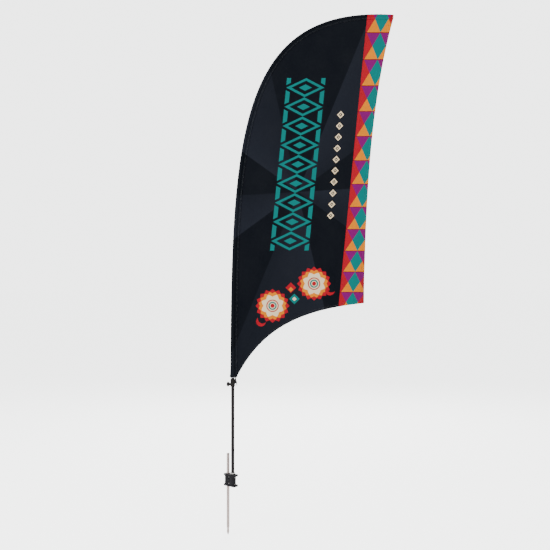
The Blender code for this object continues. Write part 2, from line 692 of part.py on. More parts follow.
def make_spindle():
    """Turned steel spindle: a spigot for the pole, a flange, a journal and a clip groove."""
    steel = new_material("turned_steel", (0.62, 0.61, 0.63), 0.26, 1.0)
    spigot_top = SPINDLE_FLANGE_TOP + SPIGOT_LENGTH
    groove = SPINDLE_RADIUS - CLIP_GROOVE_DEPTH
    profile = [
        (0.0, spigot_top),
        (SPIGOT_RADIUS - SPIGOT_LEAD, spigot_top),
        (SPIGOT_RADIUS, spigot_top - SPIGOT_LEAD),
        (SPIGOT_RADIUS, SPINDLE_FLANGE_TOP),
        (SPINDLE_FLANGE_RADIUS, SPINDLE_FLANGE_TOP),
        (SPINDLE_FLANGE_RADIUS, SPINDLE_FLANGE_BOTTOM),
        (SPINDLE_RADIUS, SPINDLE_FLANGE_BOTTOM),
        (SPINDLE_RADIUS, CLIP_BOTTOM + CLIP_THICKNESS + GAP / 2),
        (groove, CLIP_BOTTOM + CLIP_THICKNESS + GAP / 2),
        (groove, CLIP_BOTTOM - GAP / 2),
        (SPINDLE_RADIUS, CLIP_BOTTOM - GAP / 2),
        (SPINDLE_RADIUS, SPINDLE_END_RECESS),
        (0.0, SPINDLE_END_RECESS),
    ]
    place(turned("spindle", profile), SPINDLE, steel)

    washer = ring_profile(BUSH_FLANGE_RADIUS, BUSH_BORE, WASHER_BOTTOM + WASHER_THICKNESS, WASHER_BOTTOM)
    acetal = new_material("white_acetal", (0.80, 0.80, 0.78), 0.40)
    place(turned("thrust_washer", washer), SPINDLE, acetal)

    clip_profile = ring_profile(CLIP_RADIUS, groove + GAP / 2, CLIP_BOTTOM + CLIP_THICKNESS, CLIP_BOTTOM)
    clip = turned("retaining_clip", clip_profile, sides=24)
    low = (-CLIP_MOUTH_HALF_WIDTH, -CLIP_RADIUS - CUT_MARGIN, CLIP_BOTTOM - CUT_MARGIN)
    high = (CLIP_MOUTH_HALF_WIDTH, 0.0, CLIP_BOTTOM + CLIP_THICKNESS + CUT_MARGIN)
    cut(clip, box("clip_mouth", low, high))
    place(clip, SPINDLE, new_material("spring_steel", (0.12, 0.12, 0.13), 0.35, 1.0))


# --- pole -------------------------------------------------------------------------------------------------

def make_pole():
    """Three plugged sections, two ferrules at the joints and a cap on the tip."""
    black = new_material("black_pole_paint", (0.022, 0.020, 0.020), 0.34)
    foot = [(0.0, 0.0, POLE_FOOT)]
    lower_path = foot + sweep_path(0, LOWER_TUBE_STEP)
    lower_radii = [LOWER_TUBE_RADIUS] * len(lower_path)
    place(swept_tube("lower_pole_tube", lower_path, lower_radii, TUBE_WALL), POLE, black)

    middle_path = sweep_path(LOWER_TUBE_STEP - JOINT_OVERLAP_STEPS, MIDDLE_TUBE_STEP)
    middle_radii = [MIDDLE_TUBE_RADIUS] * len(middle_path)
    fibre = new_material("black_fibreglass_tube", (0.024, 0.023, 0.024), 0.40)
    place(swept_tube("middle_pole_tube", middle_path, middle_radii, TUBE_WALL), POLE, fibre)

    first = MIDDLE_TUBE_STEP - JOINT_OVERLAP_STEPS
    rod_path = sweep_path(first, SWEEP_STEPS)
    held = [ROD_RADIUS] * (JOINT_OVERLAP_STEPS + 1)
    free_steps = SWEEP_STEPS - MIDDLE_TUBE_STEP
    taper = [ROD_RADIUS + (ROD_TIP_RADIUS - ROD_RADIUS) * (i / free_steps) for i in range(1, free_steps + 1)]
    rod = new_material("black_fibreglass_rod", (0.026, 0.025, 0.026), 0.40)
    place(swept_tube("upper_pole_rod", rod_path, held + taper), POLE, rod)

    metal = new_material("ferrule_aluminium", (0.70, 0.70, 0.71), 0.32, 1.0)
    joints = (
        ("lower_joint_ferrule", LOWER_TUBE_STEP, LOWER_TUBE_RADIUS),
        ("upper_joint_ferrule", MIDDLE_TUBE_STEP, MIDDLE_TUBE_RADIUS),
    )
    for name, step, radius in joints:
        end = sweep_point(step)
        back = (sweep_point(step - 1) - end).normalized()
        start = end + back * FERRULE_LENGTH
        path = [(start.x, 0.0, start.y), (end.x, 0.0, end.y)]
        outer = radius + GAP + FERRULE_WALL
        place(swept_tube(name, path, [outer, outer], FERRULE_WALL), POLE, metal)

    make_tip_cap()


def tip_frame():
    """Return the turn that carries +Z onto the pole's direction at its tip, and the tip's place."""
    end = sweep_point(SWEEP_STEPS)
    along = (end - sweep_point(SWEEP_STEPS - 1)).normalized()
    turn = Vector((along.x, 0.0, along.y)).to_track_quat("Z", "Y").to_matrix().to_4x4()
    return turn, Vector((end.x, 0.0, end.y))


def make_tip_cap():
    """Rounded plastic cap over the rod's tip, inside the sleeve's peak pocket."""
    bore = ROD_RADIUS + (ROD_TIP_RADIUS - ROD_RADIUS) * (1 - 1 / (SWEEP_STEPS - MIDDLE_TUBE_STEP)) + GAP
    outer = bore + TIP_CAP_WALL
    profile = [
        (0.0, GAP + TIP_CAP_END),
        (outer - TIP_CAP_WALL, GAP + TIP_CAP_END),
        (outer, GAP + TIP_CAP_END - TIP_CAP_WALL),
        (outer, GAP - TIP_CAP_LENGTH),
        (bore, GAP - TIP_CAP_LENGTH),
        (bore, GAP),
        (0.0, GAP),
    ]
    cap = turned("pole_tip_cap", profile, sides=24)
    turn, tip = tip_frame()
    cap.data.transform(turn)
    place(cap, POLE, new_material("tip_vinyl", (0.03, 0.03, 0.03), 0.55), tip)


# --- flag -------------------------------------------------------------------------------------------------

def make_flag():
    """Printed front and back panels with a block-out liner between them."""
    outline = [tuple(p) for p in flag_outline()]
    pitch = CLOTH + LAYER_GAP
    layers = (
        ("flag_front_panel", -pitch, (0.012, 0.018, 0.026)),
        ("flag_liner", 0.0, (0.030, 0.030, 0.032)),
        ("flag_back_panel", pitch, (0.012, 0.018, 0.026)),
    )
    for name, offset, colour in layers:
        stand = Matrix.Translation((0.0, offset, 0.0)) @ STAND_UP
        panel = plate(name, [outline], CLOTH, stand)
        place(panel, POLE, new_material(name + "_cloth", colour, 0.75))


def make_sleeve():
    """Pole sleeve along the luff, the pocket at its peak and the binding at its mouth."""
    cloth = new_material("sleeve_cloth", (0.010, 0.014, 0.020), 0.78)
    last = SWEEP_STEPS - 1
    path = [(0.0, 0.0, SLEEVE_FOOT)] + sweep_path(1, last)
    radii = [SLEEVE_FOOT_RADIUS] + [sleeve_radius(step) for step in range(1, last + 1)]
    place(swept_tube("pole_sleeve", path, radii, SLEEVE_WALL, SLEEVE_RESOLUTION), POLE, cloth)

    turn, tip = tip_frame()
    segment = sweep_point(SWEEP_STEPS) - sweep_point(last)
    bend = segment.angle(sweep_point(last) - sweep_point(last - 1))
    outer = sleeve_radius(SWEEP_STEPS)
    inner = outer - SLEEVE_WALL
    start = -segment.length + GAP + outer * math.tan(bend)
    end = TIP_CAP_END + GAP * 2
    profile = [
        (0.0, end + SLEEVE_WALL),
        (outer - POCKET_CORNER, end + SLEEVE_WALL),
        (outer, end + SLEEVE_WALL - POCKET_CORNER),
        (outer, start),
        (inner, start),
        (inner, end),
        (0.0, end),
    ]
    pocket = turned("peak_pocket", profile, sides=24)
    pocket.data.transform(turn)
    place(pocket, POLE, new_material("peak_pocket_cloth", (0.010, 0.014, 0.020), 0.70), tip)


def stadium(left, right, half_width, steps=8):
    """Return a round-ended outline from left to right, as (x, y) points."""
    points = []
    for centre, begin in ((right - half_width, -90.0), (left + half_width, 90.0)):
        for i in range(steps + 1):
            angle = math.radians(begin + 180.0 * i / steps)
            points.append((centre + half_width * math.cos(angle), half_width * math.sin(angle)))
    return points


def make_tail():
    """Grey binding round the sleeve's mouth, and the elastic loop that hooks under the horn."""
    right = SLEEVE_FOOT_RADIUS + LAYER_GAP + TACK_WIDTH
    outer = stadium(-SLEEVE_FOOT_RADIUS, right, SLEEVE_FOOT_RADIUS)
    wall = BINDING_WALL
    inner = stadium(-SLEEVE_FOOT_RADIUS + wall, right - wall, SLEEVE_FOOT_RADIUS - wall)
    lift = Matrix.Translation((0.0, 0.0, BINDING_BOTTOM + BINDING_HEIGHT / 2))
    binding = plate("sleeve_mouth_binding", [outer, inner], BINDING_HEIGHT, lift)
    place(binding, POLE, new_material("grey_binding_tape", (0.36, 0.36, 0.38), 0.70))

    top = BINDING_BOTTOM - GAP
    ceiling = COLLAR_TOP - HORN_NOTCH_HEIGHT
    bottom = ceiling - GAP
    shoulder = COLLAR_TOP + GAP
    inner_leg = HORN_HALF_WIDTH + GAP
    outer_leg = inner_leg + LOOP_THICKNESS
    thick = LOOP_THICKNESS
    narrow = LOOP_TOP_HALF_WIDTH
    outside = [
        (-narrow, top), (-outer_leg, shoulder), (-outer_leg, bottom), (-inner_leg, bottom - thick),
        (inner_leg, bottom - thick), (outer_leg, bottom), (outer_leg, shoulder), (narrow, top),
    ]
    inside = [
        (-narrow + thick, top - thick), (-inner_leg, shoulder), (-inner_leg, bottom),
        (inner_leg, bottom), (inner_leg, shoulder), (narrow - thick, top - thick),
    ]
    middle = COLLAR_RADIUS + HORN_NOTCH_WIDTH / 2
    across = Matrix.Translation((middle, 0.0, 0.0)) @ FACE_ACROSS
    loop = plate("elastic_tail_loop", [outside, inside], LOOP_WIDTH, across)
    place(loop, POLE, new_material("black_elastic", (0.02, 0.02, 0.022), 0.80))


# --- tension collar ---------------------------------------------------------------------------------------

def make_collar():
    """Collar that slides on the pole, with a down-turned horn and a thumb screw."""
    plastic = new_material("collar_nylon", (0.026, 0.024, 0.023), 0.45)
    bottom = COLLAR_TOP - COLLAR_HEIGHT
    collar = cylinder("tension_collar", COLLAR_RADIUS, (0, 0, bottom), (0, 0, COLLAR_TOP))
    root = COLLAR_BORE + COLLAR_WALL / 2
    notch_out = COLLAR_RADIUS + HORN_NOTCH_WIDTH
    ceiling = COLLAR_TOP - HORN_NOTCH_HEIGHT
    tip = COLLAR_TOP - HORN_DROP
    horn = [
        (root, COLLAR_TOP),
        (COLLAR_RADIUS + HORN_CREST[0], COLLAR_TOP - HORN_CREST[1]),
        (COLLAR_RADIUS + HORN_BACK[0], COLLAR_TOP - HORN_BACK[1]),
        (COLLAR_RADIUS + HORN_REACH, COLLAR_TOP - HORN_BELLY_DROP),
        (COLLAR_RADIUS + HORN_TIP[0], tip),
        (COLLAR_RADIUS + HORN_TIP[1], tip + HORN_TIP_SLOPE),
        (notch_out, COLLAR_TOP - HORN_THROAT_DROP),
        (notch_out, ceiling),
        (root, ceiling),
    ]
    add(collar, plate("horn", [horn], HORN_HALF_WIDTH * 2, STAND_UP))
    boss_end = -COLLAR_RADIUS - BOSS_PROUD
    add(collar, cylinder("boss", BOSS_RADIUS, (0, 0, THUMB_Z), (boss_end, 0, THUMB_Z)))
    low = (0, 0, bottom - CUT_MARGIN)
    high = (0, 0, COLLAR_TOP + CUT_MARGIN)
    cut(collar, cylinder("pole_bore", COLLAR_BORE, low, high))
    pocket_end = (boss_end - CUT_MARGIN, 0, THUMB_Z)
    cut(collar, cylinder("insert_pocket", INSERT_RADIUS + GAP, (0, 0, THUMB_Z), pocket_end, sides=24))
    place(collar, POLE, plastic)

    start = (-COLLAR_BORE, 0, 0)
    insert = cylinder("collar_insert_nut", INSERT_RADIUS, start, (boss_end, 0, 0), sides=24)
    far = (boss_end - CUT_MARGIN, 0, 0)
    cut(insert, cylinder("insert_thread", INSERT_BORE, (0, 0, 0), far, sides=24))
    place(insert, POLE, new_material("insert_brass", (0.60, 0.45, 0.20), 0.35, 1.0), (0, 0, THUMB_Z))

    make_thumb_screw(boss_end)


def make_thumb_screw(boss_end):
    """Steel shank with an oval paddle knob; the shank's end bears on the pole."""
    knob_start = boss_end - GAP
    shank_end = knob_start - THUMB_SHANK_IN_KNOB
    start = -COLLAR_BORE
    shank = cylinder("thumb_screw_shank", THUMB_SHANK_RADIUS, (start, 0, 0), (shank_end, 0, 0), sides=24)
    steel = new_material("thumb_screw_steel", (0.55, 0.55, 0.56), 0.30, 1.0)
    place(shank, POLE, steel, (0, 0, THUMB_Z))

    middle = knob_start - KNOB_EDGE - KNOB_LENGTH / 2
    steps = 28
    oval = []
    for i in range(steps):
        angle = 2 * math.pi * i / steps
        oval.append((middle + KNOB_LENGTH / 2 * math.cos(angle), KNOB_HALF_HEIGHT * math.sin(angle)))
    knob = plate("thumb_screw_knob", [oval], KNOB_THICKNESS, STAND_UP)
    hub_end = knob_start - HUB_LENGTH
    add(knob, cylinder("hub", HUB_RADIUS, (knob_start, 0, 0), (hub_end, 0, 0), sides=24))
    hole_start = (knob_start + CUT_MARGIN, 0, 0)
    hole_end = (shank_end - GAP, 0, 0)
    cut(knob, cylinder("shank_hole", THUMB_SHANK_RADIUS + GAP, hole_start, hole_end, sides=24))
    edge = knob.modifiers.new("Soft edge", "BEVEL")
    edge.width = KNOB_EDGE
    edge.segments = 2
    edge.limit_method = "ANGLE"
    edge.angle_limit = math.radians(60)
    plastic = new_material("knob_nylon", (0.030, 0.029, 0.028), 0.40)
    place(knob, POLE, plastic, (0, 0, THUMB_Z))


clear_scene()
PARTS = new_collection("Razor_flag")
BRACKET = new_empty("stake_axis", (0.0, 0.0, 0.0), BRACKET_YAW)
POLE_PLACE = (AXIS_SPACING * math.cos(BRACKET_YAW), AXIS_SPACING * math.sin(BRACKET_YAW), 0.0)
SPINDLE = new_empty("spindle_axis", POLE_PLACE)
POLE = new_empty("pole_axis", POLE_PLACE)

make_ground_stake()
make_bracket()
make_fasteners()
make_bushes()
make_spindle()
make_pole()
make_flag()
make_sleeve()
make_tail()
make_collar()
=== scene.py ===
"""Looks of a razor-top feather flag on a ground stake.

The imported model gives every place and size. This script weaves and prints the cloth, sews it, paints and
grains the hard parts, and sets up a pale studio around them.
"""

import logging
import math
from dataclasses import dataclass, field
from enum import Enum
from typing import Callable, Sequence

import bmesh
import bpy
import numpy as np
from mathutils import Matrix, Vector


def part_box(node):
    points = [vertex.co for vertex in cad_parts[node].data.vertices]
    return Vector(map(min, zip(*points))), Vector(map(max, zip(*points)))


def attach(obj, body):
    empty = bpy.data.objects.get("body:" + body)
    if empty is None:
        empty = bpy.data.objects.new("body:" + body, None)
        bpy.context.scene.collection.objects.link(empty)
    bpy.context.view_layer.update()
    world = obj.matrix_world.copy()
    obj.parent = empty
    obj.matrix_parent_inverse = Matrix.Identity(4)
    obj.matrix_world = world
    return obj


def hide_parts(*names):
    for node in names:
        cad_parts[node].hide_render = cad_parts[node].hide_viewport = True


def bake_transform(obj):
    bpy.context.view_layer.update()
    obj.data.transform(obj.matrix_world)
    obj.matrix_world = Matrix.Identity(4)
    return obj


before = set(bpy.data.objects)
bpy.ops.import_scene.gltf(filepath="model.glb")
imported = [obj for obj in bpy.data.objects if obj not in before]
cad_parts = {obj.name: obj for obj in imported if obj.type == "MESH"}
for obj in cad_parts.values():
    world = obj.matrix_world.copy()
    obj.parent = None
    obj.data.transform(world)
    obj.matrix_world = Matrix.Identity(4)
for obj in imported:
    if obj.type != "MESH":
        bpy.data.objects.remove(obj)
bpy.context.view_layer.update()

logging.basicConfig(level=logging.INFO, format="%(name)s: %(message)s")
LOG = logging.getLogger("flag")

Colour = tuple[float, float, float]
Points = np.ndarray

STITCH_PROUD = 0.00022
PRINT_MAP = "Print"
TAPE_MAP = "Along"


# --- numbers on a surface ---

class Field:
    """A number at each point of a surface, worked out by shader maths."""

    def __init__(self, tree: bpy.types.NodeTree, socket: bpy.types.NodeSocket) -> None:
        """Wrap a socket of a material's tree."""
        self.tree = tree
        self.socket = socket

    def maths(self, operation: str, *others: "Field | float") -> "Field":
        """Apply one operation of the Math node.

        Args:
            operation: the node's operation.
            others: the second and third inputs, as fields or numbers.

        Returns:
            The result as a field.
        """
        node = self.tree.nodes.new("ShaderNodeMath")
        node.operation = operation
        for slot, value in enumerate((self, *others)):
            if isinstance(value, Field):
                self.tree.links.new(value.socket, node.inputs[slot])
            else:
                node.inputs[slot].default_value = value
        return Field(self.tree, node.outputs[0])

    def __add__(self, other: "Field | float") -> "Field":
        """Return the sum."""
        return self.maths("ADD", other)

    def __sub__(self, other: "Field | float") -> "Field":
        """Return the difference."""
        return self.maths("SUBTRACT", other)

    def __mul__(self, other: "Field | float") -> "Field":
        """Return the product."""
        return self.maths("MULTIPLY", other)

    def __truediv__(self, other: "Field | float") -> "Field":
        """Return the quotient."""
        return self.maths("DIVIDE", other)

    def __and__(self, other: "Field") -> "Field":
        """Return where both masks hold."""
        return self.maths("MINIMUM", other)

    def __or__(self, other: "Field") -> "Field":
        """Return where either mask holds."""
        return self.maths("MAXIMUM", other)

    def size(self) -> "Field":
        """Return the number without its sign."""
        return self.maths("ABSOLUTE")

    def whole(self) -> "Field":
        """Return the number rounded down."""
        return self.maths("FLOOR")

    def part(self) -> "Field":
        """Return what is left above the number rounded down."""
        return self.maths("FRACT")

    def below(self, limit: "Field | float") -> "Field":
        """Return the mask of where the number is under a limit."""
        return self.maths("LESS_THAN", limit)

    def above(self, limit: "Field | float") -> "Field":
        """Return the mask of where the number is over a limit."""
        return self.maths("GREATER_THAN", limit)

    def between(self, low: float, high: float) -> "Field":
        """Return the mask of where the number is within two limits."""
        return self.above(low) & self.below(high)


@dataclass
class Recipe:
    """A material under construction, with its shader and its tree."""

    name: str
    material: bpy.types.Material = field(init=False)
    tree: bpy.types.NodeTree = field(init=False)
    shader: bpy.types.Node = field(init=False)

    def __post_init__(self) -> None:
        """Make the material with a bare Principled shader."""
        self.material = bpy.data.materials.new(self.name)
        self.material.use_nodes = True
        self.tree = self.material.node_tree
        self.shader = self.tree.nodes["Principled BSDF"]

    def set(self, **values: float | Colour) -> "Recipe":
        """Set constant values on the shader's own sockets.

        Args:
            values: socket names with underscores for spaces, and their values.

        Returns:
            This recipe.
        """
        for key, value in values.items():
            socket = self.shader.inputs[key.replace("_", " ")]
            socket.default_value = (*value, 1.0) if isinstance(value, tuple) else value
        return self

    def new(self, kind: str, **settings: object) -> bpy.types.Node:
        """Add a node and set its properties."""
        node = self.tree.nodes.new(kind)
        for key, value in settings.items():
            setattr(node, key, value)
        return node

    def link(self, source: bpy.types.NodeSocket, target: bpy.types.NodeSocket) -> None:
        """Join two sockets."""
        self.tree.links.new(source, target)

    def surface_map(self, name: str) -> tuple[Field, Field]:
        """Return the two coordinates of a named map, in metres."""
        node = self.new("ShaderNodeUVMap", uv_map=name)
        split = self.new("ShaderNodeSeparateXYZ")
        self.link(node.outputs["UV"], split.inputs[0])
        return Field(self.tree, split.outputs[0]), Field(self.tree, split.outputs[1])

    def solid_place(self) -> bpy.types.NodeSocket:
        """Return the place in the object's own space."""
        return self.new("ShaderNodeTexCoord").outputs["Object"]

    def noise(self, scale: float, detail: float = 3.0, stretch: Colour = (1.0, 1.0, 1.0)) -> Field:
        """Return smooth noise in the object's own space.

        Args:
            scale: waves in a metre.
            detail: octaves.
            stretch: how much faster it changes along each axis.

        Returns:
            The noise, about 0 to 1.
        """
        spread = self.new("ShaderNodeMapping")
        spread.inputs["Scale"].default_value = stretch
        self.link(self.solid_place(), spread.inputs["Vector"])
        node = self.new("ShaderNodeTexNoise")
        node.inputs["Scale"].default_value = scale
        node.inputs["Detail"].default_value = detail
        self.link(spread.outputs[0], node.inputs["Vector"])
        return Field(self.tree, node.outputs["Fac"])

    def spread(self, source: Field, low: float, high: float, start: float = 0.3, end: float = 0.7) -> Field:
        """Return a field mapped from one range to another."""
        node = self.new("ShaderNodeMapRange")
        node.inputs["From Min"].default_value = start
        node.inputs["From Max"].default_value = end
        node.inputs["To Min"].default_value = low
        node.inputs["To Max"].default_value = high
        self.link(source.socket, node.inputs["Value"])
        return Field(self.tree, node.outputs[0])

    def blend(self, mask: Field, under: object, over: object) -> bpy.types.NodeSocket:
        """Lay one colour over another where a mask holds.

        Args:
            mask: 0 keeps the lower colour and 1 shows the upper one.
            under: a colour or a colour socket.
            over: a colour or a colour socket.

        Returns:
            The mixed colour's socket.
        """
        node = self.new("ShaderNodeMix", data_type="RGBA")
        self.link(mask.socket, node.inputs["Factor"])
        for name, value in (("A", under), ("B", over)):
            socket = [s for s in node.inputs if s.name == name and s.type == "RGBA"][0]
            if isinstance(value, tuple):
                socket.default_value = (*value, 1.0)
            else:
                self.link(value, socket)
        return [s for s in node.outputs if s.type == "RGBA"][0]

    def colour(self, socket: bpy.types.NodeSocket) -> None:
        """Send a colour to the shader."""
        self.link(socket, self.shader.inputs["Base Color"])

    def roughness(self, source: Field) -> None:
        """Send a roughness to the shader."""
        self.link(source.socket, self.shader.inputs["Roughness"])

    def relief(self, heights: Sequence[tuple[Field, float]]) -> None:
        """Raise the surface by some fields, each with its height in metres."""
        last = None
        for source, height in heights:
            node = self.new("ShaderNodeBump")
            node.inputs["Strength"].default_value = 1.0
            node.inputs["Distance"].default_value = height
            self.link(source.socket, node.inputs["Height"])
            if last:
                self.link(last, node.inputs["Normal"])
            last = node.outputs[0]
        self.link(last, self.shader.inputs["Normal"])


# --- finishes ---

class Weave(Enum):
    """How a cloth's threads cross, with the height of the threads in metres."""

    KNIT = 0.00005
    TAPE = 0.00012
    ELASTIC = 0.00016


@dataclass(frozen=True)
class MouldedNylon:
    """Black moulded nylon with a fine spark-eroded grain and lighter patches at random."""

    name: str
    tint: Colour
    gloss: float = 0.46
    grain: float = 1400.0
    shine: float = 0.22

    def make(self) -> bpy.types.Material:
        """Return the material."""
        recipe = Recipe(self.name).set(Specular_IOR_Level=self.shine)
        cloud = recipe.noise(38.0, 4.0)
        lift = tuple(min(1.0, c * 1.7 + 0.002) for c in self.tint)
        recipe.colour(recipe.blend(recipe.spread(cloud, 0.0, 1.0, 0.35, 0.75), self.tint, lift))
        recipe.roughness(recipe.spread(recipe.noise(120.0, 5.0), self.gloss - 0.08, self.gloss + 0.12))
        recipe.relief([(recipe.noise(self.grain, 2.0), 0.00006), (recipe.noise(90.0, 3.0), 0.00012)])
        return recipe.material


@dataclass(frozen=True)
class BareMetal:
    """Plated or turned metal with drawn lines along or around it."""

    name: str
    tint: Colour
    gloss: float
    lines: Colour = (1.0, 1.0, 1.0)
    line_scale: float = 300.0
    stain: Colour = (0.30, 0.27, 0.25)
    staining: float = 0.25

    def make(self) -> bpy.types.Material:
        """Return the material."""
        recipe = Recipe(self.name).set(Metallic=1.0)
        patches = recipe.spread(recipe.noise(24.0, 6.0), 0.0, self.staining, 0.45, 0.75)
        recipe.colour(recipe.blend(patches, self.tint, self.stain))
        streaks = recipe.noise(self.line_scale, 4.0, self.lines)
        recipe.roughness(recipe.spread(streaks, self.gloss - 0.07, self.gloss + 0.14))
        recipe.relief([(streaks, 0.00003), (recipe.noise(60.0, 4.0), 0.00005)])
        return recipe.material


@dataclass(frozen=True)
class PolePaint:
    """Semi-gloss black coating with light scuffs along the pole."""

    name: str
    tint: Colour
    gloss: float = 0.36
    scuff: Colour = (0.030, 0.027, 0.026)

    def make(self) -> bpy.types.Material:
        """Return the material."""
        recipe = Recipe(self.name).set(Specular_IOR_Level=0.25)
        scuffs = recipe.noise(210.0, 6.0, (1.0, 1.0, 0.06))
        recipe.colour(recipe.blend(recipe.spread(scuffs, 0.0, 0.8, 0.62, 0.80), self.tint, self.scuff))
        recipe.roughness(recipe.spread(scuffs, self.gloss - 0.05, self.gloss + 0.16, 0.4, 0.75))
        recipe.relief([(recipe.noise(700.0, 2.0), 0.00002), (scuffs, 0.00003)])
        return recipe.material


@dataclass(frozen=True)
class PlainCloth:
    """Dyed cloth or tape with visible threads, their crowns painted lighter than the hollows between them as
    painted highlight and shade.
    """

    name: str
    tint: Colour
    weave: Weave
    pitch: float = 0.0009
    sheen: float = 0.25

    def make(self) -> bpy.types.Material:
        """Return the material."""
        recipe = Recipe(self.name).set(Sheen_Weight=self.sheen, Sheen_Roughness=0.5, Specular_IOR_Level=0.25)
        along, across = recipe.surface_map(TAPE_MAP)
        threads = woven(along, across, self.pitch)
        light = tuple(min(1.0, c * 1.5 + 0.004) for c in self.tint)
        # Painted highlight and shade: the tint is lifted on the thread crowns and left darker in the
        # hollows, following the weave's height.
        recipe.colour(recipe.blend(threads * 0.7, self.tint, light))
        recipe.roughness(recipe.spread(recipe.noise(160.0), 0.68, 0.86))
        recipe.relief([(threads, self.weave.value), (recipe.noise(140.0, 3.0), 0.0002)])
        return recipe.material


@dataclass(frozen=True)
class Thread:
    """Twisted sewing thread, its raised plies painted lighter as a painted highlight."""

    name: str
    tint: Colour

    def make(self) -> bpy.types.Material:
        """Return the material."""
        recipe = Recipe(self.name).set(Sheen_Weight=0.3, Specular_IOR_Level=0.35)
        ply = recipe.noise(2600.0, 2.0)
        light = tuple(min(1.0, c * 1.6 + 0.01) for c in self.tint)
        # Painted highlight: the colour is lifted where the ply noise raises the thread.
        recipe.colour(recipe.blend(recipe.spread(ply, 0.0, 1.0), self.tint, light))
        recipe.roughness(recipe.spread(ply, 0.50, 0.72))
        recipe.relief([(ply, 0.00005)])
        return recipe.material


def woven(along: Field, across: Field, pitch: float) -> Field:
    """Return the height of plain-woven threads.

    Args:
        along: one coordinate, in metres.
        across: the other.
        pitch: the distance between two threads.

    Returns:
        The height, 0 to 1.
    """
    turn = math.pi / pitch
    warp = (along * turn).maths("SINE").size()
    weft = (across * turn).maths("SINE").size()
    checks = ((along / pitch).whole() + (across / pitch).whole()).maths("MODULO", 2.0).size()
    return checks * warp + (checks * -1.0 + 1.0) * weft


# --- the print ---

